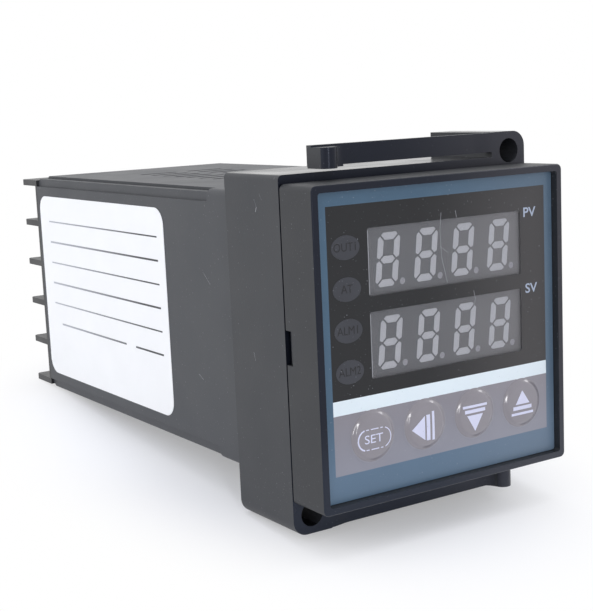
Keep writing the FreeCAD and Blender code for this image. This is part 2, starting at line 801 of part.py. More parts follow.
save("display_board", display_board())
save("logic_board", long_board(logic_side))
save("power_board", long_board(power_side))
save("board_headers", board_headers())
save("key_switches", key_switches())
for key_name, key_x in key_places().items():
    save(key_name + "_key", key_cap(key_x))
    save(key_name + "_key_plunger", key_plunger(key_x))

save("transformer_core", transformer_core())
save("transformer_winding", transformer_winding())
save("filter_capacitor", can_on_board(power_side, filter_cap_y, filter_cap_z, filter_cap_radius,
                                      filter_cap_length))
save("output_capacitors", output_capacitors())
save("surge_varistor", varistor())
save("fuse_resistor", fuse_resistor())
save("bridge_rectifier", on_board(power_side, rectifier_y, rectifier_z, rectifier_length, rectifier_width,
                                  rectifier_height))
save("switching_regulator", on_board(power_side, regulator_y, regulator_z, regulator_length, regulator_width,
                                     regulator_height))
save("output_relay", on_board(logic_side, relay_y, relay_z, relay_length, relay_width, relay_height))
save("alarm_relay", on_board(logic_side, alarm_relay_y, alarm_relay_z, alarm_relay_length, alarm_relay_width,
                             alarm_relay_height))
save("processor_chip", on_board(logic_side, processor_y, processor_z, processor_size, processor_size,
                                processor_height))
save("clock_crystal", on_board(logic_side, crystal_y, crystal_z, crystal_length, crystal_width,
                               crystal_height))
save("sensor_amplifier", on_board(logic_side, amplifier_y, amplifier_z, amplifier_length, amplifier_width,
                                  amplifier_height))
save("signal_couplers", couplers())

save("bracket_frame", bracket_frame())
arm_shape = union([spring_leaf(), spring_nose()])
save("upper_spring_arm", arm_shape)
save("lower_spring_arm", half_turn(arm_shape))
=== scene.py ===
# %% [markdown]
# # A panel temperature controller
# The instrument is a 48 mm square front on a long black case, held in a panel by a bracket
# that slides up the case from behind. The solids are already right in size and place, so this
# lesson only dresses them: soft edges, printed film, embossed keys, screws, a label and finishes.

# %% Load the frame
import math

import bmesh
import bpy
from mathutils import Matrix, Vector


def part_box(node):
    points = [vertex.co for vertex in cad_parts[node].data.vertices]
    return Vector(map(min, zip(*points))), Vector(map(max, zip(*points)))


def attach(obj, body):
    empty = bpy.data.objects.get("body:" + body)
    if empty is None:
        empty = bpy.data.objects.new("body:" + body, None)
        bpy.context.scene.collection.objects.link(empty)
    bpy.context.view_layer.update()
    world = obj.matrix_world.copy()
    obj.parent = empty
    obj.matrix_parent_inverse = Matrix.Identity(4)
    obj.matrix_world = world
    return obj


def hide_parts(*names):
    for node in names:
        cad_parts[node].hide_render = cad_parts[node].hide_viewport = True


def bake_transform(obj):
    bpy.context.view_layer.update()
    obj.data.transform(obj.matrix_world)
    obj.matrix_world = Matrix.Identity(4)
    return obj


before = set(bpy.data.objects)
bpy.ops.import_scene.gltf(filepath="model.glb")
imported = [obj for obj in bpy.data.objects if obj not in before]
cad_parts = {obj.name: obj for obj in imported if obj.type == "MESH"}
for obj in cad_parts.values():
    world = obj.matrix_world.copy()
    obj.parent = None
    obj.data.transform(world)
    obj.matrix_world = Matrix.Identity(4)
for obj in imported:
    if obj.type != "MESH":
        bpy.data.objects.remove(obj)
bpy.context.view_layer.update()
MM = 0.001

# %% [markdown]
# ## A few hands for modelling
# Operators act on whatever is selected, so every step starts by selecting one piece alone.
# Faces and edges are then picked by where they are or which way they look, as one would by eye.
# Lists of corners could make each mesh at once, but an operator can be tried out by hand.


# %% Selecting and editing
def only(*pieces):
    """Select these pieces alone and make the first one active."""
    bpy.ops.object.select_all(action="DESELECT")
    for piece in pieces:
        piece.select_set(True)
    if pieces:
        bpy.context.view_layer.objects.active = pieces[0]


def edit(piece):
    only(piece)
    bpy.ops.object.mode_set(mode="EDIT")
    bpy.ops.mesh.select_all(action="SELECT")


def leave():
    bpy.ops.object.mode_set(mode="OBJECT")


def pick(piece, kind, test):
    """In edit mode, select the VERT, EDGE or FACE parts that pass the test."""
    bpy.ops.mesh.select_all(action="DESELECT")
    bpy.ops.mesh.select_mode(type=kind)
    mesh = bmesh.from_edit_mesh(piece.data)
    parts = {"VERT": mesh.verts, "EDGE": mesh.edges, "FACE": mesh.faces}[kind]
    for part in parts:
        if test(part):
            part.select_set(True)
    bmesh.update_edit_mesh(piece.data)


print("selecting helpers ready")


# %% Modifiers and joining
def apply_modifier(piece, kind, **settings):
    only(piece)
    modifier = piece.modifiers.new(kind.lower(), kind)
    for name, value in settings.items():
        setattr(modifier, name, value)
    bpy.ops.object.modifier_apply(modifier=modifier.name)


def smooth(piece, angle=35):
    only(piece)
    bpy.ops.object.shade_smooth_by_angle(angle=math.radians(angle))


def bevel(piece, width, segments=2, angle=40):
    """Round every edge sharper than the angle (width in mm); the flat faces keep flat shading."""
    apply_modifier(piece, "BEVEL", width=width * MM, segments=segments, limit_method="ANGLE",
                   angle_limit=math.radians(angle))
    smooth(piece)
    apply_modifier(piece, "WEIGHTED_NORMAL", mode="FACE_AREA", weight=100, keep_sharp=True)


def join(name, pieces):
    only(*pieces)
    bpy.ops.object.join()
    pieces[0].name = name
    return pieces[0]


print("modelling helpers ready")

# %% [markdown]
# Most flat shapes begin as one point that is extruded along an outline, filled, and pushed into
# a solid. That is how a triangle, a bar or the outline of a spring arm is drawn by hand. A curve
# could be filled too, but a mesh can be bisected, spun and joined straight away.


# %% Drawing an outline and pushing it
def drawn(name, outline, push):
    """Extrude a point along an outline, fill it and push the face; all in millimetres."""
    only()
    bpy.ops.mesh.primitive_plane_add(size=MM, location=(0, 0, 0))
    piece = bpy.context.object
    piece.name = name
    bpy.ops.object.mode_set(mode="EDIT")
    bpy.ops.mesh.select_mode(type="VERT")
    bpy.ops.mesh.select_all(action="SELECT")
    bpy.ops.mesh.merge(type="CENTER")
    corners = [Vector(corner) * MM for corner in outline]
    bpy.ops.transform.translate(value=corners[0])
    for here, there in zip(corners, corners[1:]):
        bpy.ops.mesh.extrude_vertices_move(TRANSFORM_OT_translate={"value": there - here})
    bpy.ops.mesh.select_all(action="SELECT")
    bpy.ops.mesh.edge_face_add()
    bpy.ops.mesh.extrude_region_move(TRANSFORM_OT_translate={"value": Vector(push) * MM})
    bpy.ops.mesh.select_all(action="SELECT")
    bpy.ops.mesh.normals_make_consistent(inside=False)
    leave()
    return piece


def moved_copy(piece, shift):
    only(piece)
    bpy.ops.object.duplicate()
    copy = bpy.context.object
    bpy.ops.transform.translate(value=Vector(shift) * MM)
    bpy.ops.object.transform_apply(location=True, rotation=True, scale=True)
    return copy


INK_DEPTH = 0.02
CAPITAL_SHARE = 0.7
FACING_FRONT, FACING_REAR = (90, 0, 0), (90, 0, 180)


def lettering(name, text, height, place, turn, narrow=1.0, depth=INK_DEPTH, bold=0.0):
    """Raised letters: a text made a mesh, turned in degrees and put at its place in mm."""
    only()
    bpy.ops.object.text_add(location=(0, 0, 0))
    piece = bpy.context.object
    piece.name = name
    piece.data.body = text
    piece.data.align_x = "CENTER"
    piece.data.align_y = "CENTER"
    piece.data.size = height * MM / CAPITAL_SHARE
    piece.data.extrude = depth * MM / 2
    piece.data.resolution_u = 4
    piece.data.offset = bold * MM
    bpy.ops.object.convert(target="MESH")
    piece.scale = (narrow, 1, 1)
    piece.rotation_euler = [math.radians(value) for value in turn]
    piece.location = [value * MM for value in place]
    bpy.ops.object.transform_apply(location=True, rotation=True, scale=True)
    return piece


print("drawing helpers ready")

# %% [markdown]
# A moulded edge is never razor sharp, and the light that it catches is what makes plastic look
# real. A solid that is already right is copied, its loose triangles are merged, the flat faces
# are joined up again, and a narrow bevel rounds what is left. Modelling the piece once more would
# look the same, but it could drift away from the solid's size.

# %% Copying a solid with soft edges
WELD, FLAT_ANGLE = 0.002, 1


def merged_copy(name, node):
    """A copy of a solid with its loose triangles merged, left in edit mode."""
    piece = bpy.data.objects.new(name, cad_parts[node].data.copy())
    bpy.context.scene.collection.objects.link(piece)
    piece.data.materials.clear()
    edit(piece)
    bpy.ops.mesh.customdata_custom_splitnormals_clear()
    bpy.ops.mesh.remove_doubles(threshold=WELD * MM)
    return piece


def softened(name, node, width, segments=2):
    """A copy of a solid with its sharp edges rounded to a width in mm."""
    piece = merged_copy(name, node)
    bpy.ops.mesh.dissolve_limited(angle_limit=math.radians(FLAT_ANGLE))
    leave()
    bevel(piece, width, segments)
    return piece


print("soft copies ready")

# %% [markdown]
# A piece that is done is dressed in its finishes and put on the body that carries it, so that it
# moves with that body. Painting single faces gives one moulding several finishes; cutting it
# into several pieces would do that too, but would leave seams.


# %% Dressing and placing a piece
def finish(piece, body, slot, *nodes):
    """Name the body that carries the piece and the solids it stands for; the slot is not used."""
    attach(piece, body)
    if nodes:
        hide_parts(*nodes)
    print("made", piece.name, "on", body, "with", len(piece.data.polygons), "faces")


def dress(piece, *materials):
    piece.data.materials.clear()
    for material in materials:
        piece.data.materials.append(material)


def paint(piece, index, test):
    """Give the faces that pass the test another of the piece's finishes."""
    for face in piece.data.polygons:
        if test(face.center / MM, face.normal):
            face.material_index = index


def looks_forward(least):
    """A test for faces that look to the front by at least this much."""
    return lambda middle, normal: normal.y < -least


def soft_piece(name, node, width, body, slot, *materials, segments=2):
    """A soft copy of one solid, dressed, that takes the solid's place on its body."""
    piece = softened(name, node, width, segments)
    dress(piece, *materials)
    finish(piece, body, slot, node)
    return piece


def laid_on(name, pieces, material, body, slot):
    """Join thin pieces of one finish to a single piece that lies on a body."""
    piece = join(name, pieces)
    dress(piece, material)
    finish(piece, body, slot)


def box_mm(node):
    return [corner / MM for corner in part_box(node)]


print("dressing helpers ready")

# %% [markdown]
# ## Camera, floor and light
# The camera stands where the four corners of the front put it: 33 degrees to the left, 9 degrees
# up and rolled a little. It could be set by eye, but corners of a known square give it exactly.

# %% Camera
PHOTO_HEIGHT, FOCAL_PIXELS, SENSOR_WIDTH = 611, 1283.0, 36
CAMERA_PLACE = (-122.94, -156.44, 36.43)
AZIMUTH, ELEVATION, ROLL = -32.848, 9.263, -2.600
camera_data = bpy.data.cameras.new("camera")
camera_data.sensor_width = SENSOR_WIDTH
camera_data.lens = FOCAL_PIXELS * SENSOR_WIDTH / PHOTO_HEIGHT
camera_data.clip_start = 0.01
camera = bpy.data.objects.new("camera", camera_data)
bpy.context.scene.collection.objects.link(camera)
camera.matrix_world = (Matrix.Translation(Vector(CAMERA_PLACE) * MM)
                       @ Matrix.Rotation(math.radians(AZIMUTH), 4, "Z")
                       @ Matrix.Rotation(math.radians(90 - ELEVATION), 4, "X")
                       @ Matrix.Rotation(math.radians(ROLL), 4, "Z"))
bpy.context.scene.camera = camera
print("camera lens", round(camera_data.lens, 2), "mm")

# %% [markdown]
# Every finish is a small net of shader nodes. One function adds any node with its settings and
# links. Colours are written as screens show them, and another function turns them into the
# linear light that shaders count in.


# %% One function for shader nodes, one for colours
def linear(code):
    """An sRGB hex colour as linear red, green, blue and alpha."""
    values = [int(code[i:i + 2], 16) / 255 for i in (1, 3, 5)]
    return [v / 12.92 if v <= 0.04045 else ((v + 0.055) / 1.055) ** 2.4 for v in values] + [1.0]


def add(tree, kind, options, inputs):
    """Add a shader node with its options; an input is a value or another node's output."""
    node = tree.nodes.new("ShaderNode" + kind)
    for name, value in options.items():
        setattr(node, name, value)
    for name, value in inputs.items():
        if isinstance(value, bpy.types.NodeSocket):
            tree.links.new(value, node.inputs[name])
        else:
            node.inputs[name].default_value = value
    return node


def seen_directly(tree):
    """One for rays straight from the eye, through glass or off a shiny surface, else zero."""
    path = add(tree, "LightPath", {}, {})
    direct = add(tree, "Math", {"operation": "MAXIMUM"},
                 {0: path.outputs["Is Camera Ray"], 1: path.outputs["Is Transmission Ray"]})
    clear = add(tree, "Math", {"operation": "MAXIMUM"},
                {0: direct.outputs[0], 1: path.outputs["Is Glossy Ray"]})
    return clear.outputs[0]


print("colour check:", [round(v, 3) for v in linear("#808080")])

# %% [markdown]
# The instrument lies on its bracket and its rear barriers, so the floor leans to touch both.
# Turning the instrument would do too, but the solids stay where they are. The table is white to
# the eye, except close round the instrument, where the matt paint shows its soft shadow.

# %% Floor
lower_boss, rear_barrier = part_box("bracket_frame"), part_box("rear_terminal_block")
front_foot = Vector((0, lower_boss[1].y, lower_boss[0].z))
rear_foot = Vector((0, rear_barrier[1].y, rear_barrier[0].z))
lean = math.atan2(rear_foot.z - front_foot.z, rear_foot.y - front_foot.y)
# Sizes of the floor and of the shade on it are in metres.
FLOOR_FRONT, FLOOR_REAR, FLOOR_SIDE = 0.7, 0.35, 0.8
SHADE_PLACE, SHADE_STRETCH = (0, -0.027, 0), (1, 0.6, 0)
SHADE_CORE, SHADE_RIM, SHADE_GLOW = 0.026, 0.052, 0.33
only()
bpy.ops.mesh.primitive_plane_add(size=1)
floor = bpy.context.object
floor.name = "floor"
floor.scale = (2 * FLOOR_SIDE, FLOOR_FRONT + FLOOR_REAR, 1)
floor.rotation_euler = (lean, 0, 0)
floor.location = front_foot + Vector((0, 1, math.tan(lean))) * (FLOOR_REAR - FLOOR_FRONT) / 2
bpy.ops.object.transform_apply(location=True, rotation=True, scale=True)
floor_paint = bpy.data.materials.new("white table")
floor_paint.use_nodes = True
tree = floor_paint.node_tree
tree.nodes.clear()
matt = add(tree, "BsdfDiffuse", {}, {"Color": linear("#f6f7fb")})
glow = add(tree, "Emission", {}, {"Color": linear("#ffffff"), "Strength": 1.0})
spot = add(tree, "TexCoord", {}, {})
around = add(tree, "Mapping", {}, {"Vector": spot.outputs["Object"], "Location": SHADE_PLACE,
                                   "Scale": SHADE_STRETCH})
away = add(tree, "VectorMath", {"operation": "LENGTH"}, {0: around.outputs[0]})
fade = add(tree, "MapRange", {"interpolation_type": "SMOOTHSTEP"},
           {"Value": away.outputs["Value"], "From Min": SHADE_CORE, "From Max": SHADE_RIM,
            "To Min": SHADE_GLOW, "To Max": 1.0})
share = add(tree, "Math", {"operation": "MULTIPLY"}, {0: seen_directly(tree), 1: fade.outputs[0]})
both = add(tree, "MixShader", {}, {0: share.outputs[0], 1: matt.outputs[0], 2: glow.outputs[0]})
side = add(tree, "NewGeometry", {}, {})
hole = add(tree, "BsdfTransparent", {}, {"Color": linear("#ffffff")})
top_only = add(tree, "MixShader", {},
               {0: side.outputs["Backfacing"], 1: both.outputs[0], 2: hole.outputs[0]})
add(tree, "OutputMaterial", {}, {"Surface": top_only.outputs[0]})
dress(floor, floor_paint)
print("floor leans", round(math.degrees(lean), 2), "degrees")

# %% [markdown]
# A pale tent all round gives most of the light. A softbox at the left and one above shape the
# case, a small fill opens the right side, and a tall strip in front draws thin highlights on the
# key domes. A sun would be simpler, but its hard shadows don't suit a small instrument.

# %% World and lamps
world = bpy.data.worlds.new("white tent")
bpy.context.scene.world = world
world.use_nodes = True
tree = world.node_tree
tree.nodes.clear()
tent = add(tree, "Background", {}, {"Color": linear("#eef2ff"), "Strength": 0.62})
backdrop = add(tree, "Background", {}, {"Color": linear("#ffffff"), "Strength": 1.0})
sky = add(tree, "MixShader", {},
          {0: seen_directly(tree), 1: tent.outputs[0], 2: backdrop.outputs[0]})
add(tree, "OutputWorld", {}, {"Surface": sky.outputs[0]})
LAMP_TARGET = Vector((0, 0.04, 0))
# Each lamp has a place, a width and a height in metres, and a power in watts.
LAMPS = {
    "left softbox": ((-0.60, 0.15, 0.30), 0.6, 0.6, 1.3),
    "top softbox": ((0.05, 0.10, 0.75), 0.7, 0.7, 2.6),
    "right fill": ((0.60, -0.10, 0.40), 0.35, 0.35, 1.2),
    "front strip": ((-0.26, -0.66, 0.19), 0.05, 0.48, 0.9),
}
for name, (place, width, height, power) in LAMPS.items():
    lamp = bpy.data.lights.new(name, "AREA")
    lamp.shape = "RECTANGLE"
    lamp.size, lamp.size_y = width, height
    lamp.energy = power
    holder = bpy.data.objects.new(name, lamp)
    bpy.context.scene.collection.objects.link(holder)
    holder.location = place
    aim = LAMP_TARGET - Vector(place)
    holder.rotation_euler = aim.to_track_quat("-Z", "Y").to_euler()
bpy.context.scene.view_settings.view_transform = "Standard"
print("lamps:", ", ".join(LAMPS))

# %% [markdown]
# ## Finishes
# Each finish starts from what the real surface is. Two close colours in soft patches keep it from
# being flat, a fine grain goes into the height, and the gloss is a little uneven, as handled
# plastic is. Sizes of grain and patches are real millimetres. A photographed surface could be
# laid on instead, but noise has no seams and keeps its size on every piece.

# %% The common build-up of a finish
NOISE_LOW, NOISE_HIGH = 0.3, 0.7


def surface(name, colour, other, patch, grain, depth, rough, spread,
            metallic=0.0, ior=1.5, level=0.5):
    """A finish with two colours in patches (mm), a grain (mm, depth mm) and an uneven roughness."""
    material = bpy.data.materials.new(name)
    material.use_nodes = True
    tree = material.node_tree
    tree.nodes.clear()
    where = add(tree, "TexCoord", {}, {}).outputs["Object"]
    patches = add(tree, "TexNoise", {},
                  {"Vector": where, "Scale": 1 / (patch * MM), "Detail": 4.0})
    tone = add(tree, "Mix", {"data_type": "RGBA"},
               {0: patches.outputs["Fac"], 6: linear(colour), 7: linear(other)})
    gloss = add(tree, "MapRange", {},
                {"Value": patches.outputs["Fac"], "From Min": NOISE_LOW, "From Max": NOISE_HIGH,
                 "To Min": rough - spread, "To Max": rough + spread})
    grit = add(tree, "TexNoise", {}, {"Vector": where, "Scale": 1 / (grain * MM), "Detail": 2.0})
    height = add(tree, "Bump", {}, {"Height": grit.outputs["Fac"], "Distance": depth * MM,
                                    "Strength": 1.0})
    shader = add(tree, "BsdfPrincipled", {},
                 {"Base Color": tone.outputs[2], "Roughness": gloss.outputs["Result"],
                  "Normal": height.outputs["Normal"], "Metallic": metallic, "IOR": ior,
                  "Specular IOR Level": level})
    add(tree, "OutputMaterial", {}, {"Surface": shader.outputs[0]})
    return material, tree, where, tone.outputs[2], shader


print("common build-up ready")

# %% [markdown]
# Use leaves marks on a finish: specks of dust and fine scuffs. A painted reflection also makes
# a front lighter towards the right and the lower edge.
# Each is one more layer of colour over the one before, so a finish takes only what it needs.

# %% Specks, scuffs and painted reflection
SPECK_START, SPECK_FULL, SPECK_COVER = 0.80, 0.84, 0.55
HAIR_LENGTH, HAIR_WIDTH, SCUFF_PATCH, SCUFF_COVER = 9, 0.22, 14, 0.5
# Painted reflection: where in mm a front starts and ends turning to each colour, right and down.
REFLECTION_RAMPS = {"X": (-6, 20, "#d4ccc8"), "Z": (-8, -19, "#bcd0ea")}


def speckle(tree, where, colour_in, shader, colour, size, share):
    """Small light specks of dust or bare grain, of a size in mm, over a share of the surface."""
    dots = add(tree, "TexNoise", {}, {"Vector": where, "Scale": 1 / (size * MM), "Detail": 0.0})
    cover = add(tree, "MapRange", {},
                {"Value": dots.outputs["Fac"], "From Min": SPECK_START - share,
                 "From Max": SPECK_FULL - share, "To Max": SPECK_COVER})
    mixed = add(tree, "Mix", {"data_type": "RGBA"},
                {0: cover.outputs["Result"], 6: colour_in, 7: linear(colour)})
    tree.links.new(mixed.outputs[2], shader.inputs["Base Color"])
    return mixed.outputs[2]


def scuffs(tree, where, colour_in, shader, colour, turn):
    """Fine scratches: a noise stretched into hair lines, broken up by a broad one."""
    across = 1 / (HAIR_WIDTH * MM)
    turned = add(tree, "Mapping", {},
                 {"Vector": where, "Rotation": [math.radians(value) for value in turn],
                  "Scale": (1 / (HAIR_LENGTH * MM), across, across)})
    hair = add(tree, "TexNoise", {}, {"Vector": turned.outputs[0], "Scale": 1.0, "Detail": 1.0})
    patch = add(tree, "TexNoise", {},
                {"Vector": where, "Scale": 1 / (SCUFF_PATCH * MM), "Detail": 1.0})
    thin = add(tree, "MapRange", {},
               {"Value": hair.outputs["Fac"], "From Min": 0.72, "From Max": 0.78})
    some = add(tree, "MapRange", {}, {"Value": patch.outputs["Fac"], "From Min": 0.55,
                                      "From Max": 0.68, "To Max": SCUFF_COVER})
    cover = add(tree, "Math", {"operation": "MULTIPLY"}, {0: thin.outputs[0], 1: some.outputs[0]})
    mixed = add(tree, "Mix", {"data_type": "RGBA"},
                {0: cover.outputs[0], 6: colour_in, 7: linear(colour)})
    tree.links.new(mixed.outputs[2], shader.inputs["Base Color"])


def painted_reflection(tree, where, colour_in, shader, right_share, low_share):
    """A painted reflection on a front: grey towards the right, bluish towards the lower edge."""
    axes = add(tree, "SeparateXYZ", {}, {"Vector": where})
    for axis, share in (("X", right_share), ("Z", low_share)):
        start, end, colour = REFLECTION_RAMPS[axis]
        cover = add(tree, "MapRange", {"interpolation_type": "SMOOTHSTEP"},
                    {"Value": axes.outputs[axis], "From Min": start * MM, "From Max": end * MM,
                     "To Max": share})
        mixed = add(tree, "Mix", {"data_type": "RGBA"},
                    {0: cover.outputs[0], 6: colour_in, 7: linear(colour)})
        colour_in = mixed.outputs[2]
    tree.links.new(colour_in, shader.inputs["Base Color"])


print("marks of use ready")

# %% [markdown]
# The outer mouldings are black ABS, yet they look grey, because a spark-eroded mould leaves a
# grain that catches light from the side. The case, the bracket and the frame are three mouldings;
# the bracket is painted a little darker than the case and the frame darker still, as painted shade
# where less light reaches towards the front. In each call the two colours are followed by patch,
# grain and depth of grain in mm, then roughness and its spread.


# %% Moulded plastics
# Spark-eroded ABS: a dry satin with a quarter-millimetre grain, which greys under side light.
def eroded_abs(name, colour, other):
    material, tree, where, tone, shader = surface(name, colour, other, 11, 0.28, 0.014, 0.52, 0.05)
    tone = speckle(tree, where, tone, shader, "#77787a", 0.30, 0.0)
    scuffs(tree, where, tone, shader, "#8b8a86", (25, 40, 60))
    return material


case_abs = eroded_abs("spark-eroded case ABS", "#383a3e", "#3f4145")
# Painted shade: the bracket a little darker than the case, the frame darker still, towards the
# front.
shaded_bracket_abs = eroded_abs("spark-eroded bracket ABS with painted shade", "#2c2e32", "#333539")
shaded_frame_abs = eroded_abs("spark-eroded frame ABS with painted shade", "#212327", "#282a2e")
# Polished ABS: the same plastic against a polished mould, with a clear reflection. Its deeper,
# navy colour and bluish shine are painted shade and painted reflection.
shaded_polished_abs, tree, where, tone, shader = surface(
    "polished ABS with painted shade and reflection", "#11141b", "#161922", 14, 0.9, 0.002, 0.24, 0.05, level=0.3)
tone = speckle(tree, where, tone, shader, "#5d5e62", 0.28, -0.02)
# Painted reflection: the polished faces a little lighter towards the right and the lower edge.
painted_reflection(tree, where, tone, shader, 0.05, 0.02)
# Painted reflection: a bluish tint on the shine.
shader.inputs["Specular Tint"].default_value = linear("#dfe6ff")
# Satin ABS: the bracket's top and underside, rubbed smooth where it slides along the case. Its
# darker colour is painted shade on the faces that look up or down.
shaded_satin_abs, tree, where, tone, shader = surface(
    "rubbed satin ABS with painted shade", "#1f2023", "#27282b", 9, 0.6, 0.004, 0.22, 0.06)
speckle(tree, where, tone, shader, "#6d6e70", 0.28, -0.01)
# Phenolic moulding: dense black with a faint flow pattern, a little glossier than ABS.
phenolic, tree, where, tone, shader = surface(
    "black phenolic", "#1d1e20", "#26272a", 6, 0.35, 0.010, 0.42, 0.06)
speckle(tree, where, tone, shader, "#5f5f62", 0.28, -0.01)
# Nylon: waxy black for pin strips and switch bodies, waxy red for the switches' plungers.
black_nylon = surface("black nylon", "#1b1c1e", "#232427", 4, 0.30, 0.006, 0.45, 0.05)[0]
red_nylon = surface("red nylon", "#8a2e25", "#9b3a2f", 3, 0.25, 0.005, 0.40, 0.05)[0]
# Moulding compound of chips: flat dark grey with a fine sandy grain.
chip_epoxy = surface("moulding compound", "#242528", "#2e2f32", 3, 0.18, 0.008, 0.60, 0.05)[0]
# Polyester covers of the relays: smooth, even blue with a soft shine.
relay_blue = surface("blue polyester", "#2f5fa3", "#386bb1", 8, 0.40, 0.004, 0.32, 0.05)[0]
print("plastics ready")

# %% [markdown]
# Metal shows only at the terminals, the chips' legs and a few cans. It takes its look from what
# it mirrors, so its colour is bright and its roughness tells stamped from plated and drawn.

# %% Metals
# Stamped brass with a dull oxide in patches.
brass = surface("stamped brass", "#c6a25a", "#a98645", 3, 0.20, 0.004, 0.36, 0.10,
                metallic=1.0)[0]
# Nickel plate: bright grey with a slight unevenness of the plating.
nickel = surface("nickel plate", "#cfccc4", "#b5b2aa", 2.5, 0.16, 0.004, 0.28, 0.08,
                 metallic=1.0)[0]
# Tinned copper: paler and duller than nickel, as a dipped leg is.
tinned = surface("tinned copper", "#c9cbcd", "#aeb0b3", 1.5, 0.15, 0.003, 0.34, 0.08,
                 metallic=1.0)[0]
# Drawn aluminium: a clean, slightly stretched shine on cans.
drawn_can = surface("drawn aluminium", "#d2d4d6", "#bfc1c4", 4, 0.30, 0.003, 0.30, 0.06,
                    metallic=1.0)[0]
print("metals ready")

# %% [markdown]
# The front is a polycarbonate film printed from behind. One image of the whole print could be
# laid on it, but separate inks keep their borders sharp at any distance, so every ink is a
# finish of its own with the same film over it.


# %% Printed film
# Polycarbonate film printed from behind: satin, with fine dust on it. One build-up, nine inks.
def film_print(name, colour, other):
    material, tree, where, tone, shader = surface(
        name, colour, other, 5, 0.22, 0.003, 0.34, 0.05, level=0.4)
    tone = speckle(tree, where, tone, shader, "#a9acb2", 0.24, 0.0)
    # Painted reflection: every ink lighter towards the right and bluer towards the lower edge.
    painted_reflection(tree, where, tone, shader, 0.07, 0.11)
    return material


blue_print = film_print("blue film print", "#435f74", "#4b677c")
dark_print = film_print("dark film print", "#131418", "#1a1b1f")
ice_print = film_print("ice white film print", "#e6f2f5", "#edf6f8")
mauve_print = film_print("mauve film print", "#878388", "#918d92")
smoke_print = film_print("smoked film print", "#33343a", "#3f4147")
pale_ink = film_print("pale blue ink", "#a3aec1", "#afbacb")
lilac_ink = film_print("lilac white ink", "#d9d9ee", "#e4e4f4")
faint_ink = film_print("faint dark ink", "#1d1c20", "#232226")
white_ink = film_print("white ink", "#c8c9c6", "#d6d7d4")
# Embossed key film: the mauve print under a clear gloss dome.
key_gloss, *_, shader = surface(
    "embossed gloss film", "#827d82", "#8c878c", 5, 0.9, 0.002, 0.20, 0.03)
shader.inputs["Coat Weight"].default_value = 1.0
shader.inputs["Coat Roughness"].default_value = 0.06
# Clear window: almost nothing but its shine.
clear_window, *_, shader = surface(
    "clear window film", "#7e7d7e", "#858485", 9, 0.5, 0.002, 0.16, 0.03)
shader.inputs["Alpha"].default_value = 0.18
print("films and inks ready")

# %% [markdown]
# The label is coated paper with black rules that have worn away towards the rear. The display is
# a grey painted face, filled with milky resin where its segments would light up.

# %% Label, scratches and displays
# Rule ink: black, worn paler towards the rear end where the label is handled.
WORN_START, WORN_END = 48, 92
rule_ink, tree, where, tone, shader = surface(
    "worn rule ink", "#1f2024", "#2c2d31", 3, 0.20, 0.002, 0.40, 0.05)
lengthwise = add(tree, "SeparateXYZ", {}, {"Vector": where})
fade = add(tree, "MapRange", {}, {"Value": lengthwise.outputs["Y"],
                                  "From Min": WORN_START * MM, "From Max": WORN_END * MM})
worn = add(tree, "Mix", {"data_type": "RGBA"}, {0: fade.outputs[0], 6: tone, 7: linear("#b4b5bb")})
tree.links.new(worn.outputs[2], shader.inputs["Base Color"])
# Scratched plastic: a dry pale grey, where the surface is torn open. The same grey, along the
# cut edge of each window, is a painted highlight.
scratch_and_highlight_grey = surface("scratched plastic and painted highlight", "#8f8f92", "#a2a2a6", 0.6, 0.12, 0.004, 0.50, 0.08)[0]
# Label paper: coated, nearly white, with a dull sheen.
label_paper = surface("label paper", "#f3f3f1", "#fafaf8", 7, 0.30, 0.006, 0.45, 0.05)[0]
# Display face: grey paint with a slight sparkle; the segments are milky resin.
display_grey, tree, where, tone, shader = surface(
    "display face paint", "#68696b", "#727375", 6, 0.20, 0.004, 0.50, 0.05)
tone = speckle(tree, where, tone, shader, "#8d8b89", 0.25, 0.02)
# Painted reflection: the display face lighter towards the right.
painted_reflection(tree, where, tone, shader, 0.24, 0.0)
milky_resin = surface("milky resin", "#dadade", "#e4e4e6", 2, 0.30, 0.003, 0.38, 0.05)[0]
# Dot resin: the dots, painted darker than the segments as painted shade, since they take less
# light. Tinted resin: unlit lamps.
shaded_dot_resin = surface("resin with painted shade", "#b4b3b7", "#bebdc1", 1, 0.30, 0.003, 0.40, 0.05)[0]
led_resin = surface("tinted resin", "#4b2527", "#5a2c2e", 1.5, 0.40, 0.002, 0.22, 0.04)[0]
print("label and display finishes ready")

# %% [markdown]
# ## Electronics finishes
# The boards only show when the chassis is drawn out of the case, or faintly through the vents.
# A board is green lacquer over copper tracks: bands that run one way or the other, cell by cell,
# read as tracks, and small tinned dots as solder joints. Real tracks could be drawn one by one,
# but at this distance a pattern tells the same.

# %% Boards
WAVE_BAND = 0.314  # width of one band of a wave texture at a scale of one
TRACK_PITCH, TRACK_CELL, JOINT_PITCH = 1.6, 7, 4.2
board_green, tree, where, tone, shader = surface(
    "green solder resist", "#14532f", "#1a5f38", 9, 0.30, 0.004, 0.34, 0.05)
cells = add(tree, "TexVoronoi", {"distance": "CHEBYCHEV"},
            {"Vector": where, "Scale": 1 / (TRACK_CELL * MM)})
choice = add(tree, "SeparateColor", {}, {"Color": cells.outputs["Color"]})
across, upright = [add(tree, "TexWave", {"bands_direction": axis},
                       {"Vector": where, "Scale": WAVE_BAND / (TRACK_PITCH * MM)})
                   for axis in ("Y", "Z")]
which = add(tree, "Math", {"operation": "GREATER_THAN"}, {0: choice.outputs[0], 1: 0.5})
bands = add(tree, "Mix", {},
            {0: which.outputs[0], 2: across.outputs["Fac"], 3: upright.outputs["Fac"]})
track = add(tree, "MapRange", {},
            {"Value": bands.outputs[0], "From Min": 0.55, "From Max": 0.62, "To Max": 0.7})
tracks = add(tree, "Mix", {"data_type": "RGBA"},
             {0: track.outputs[0], 6: tone, 7: linear("#2b7d4b")})
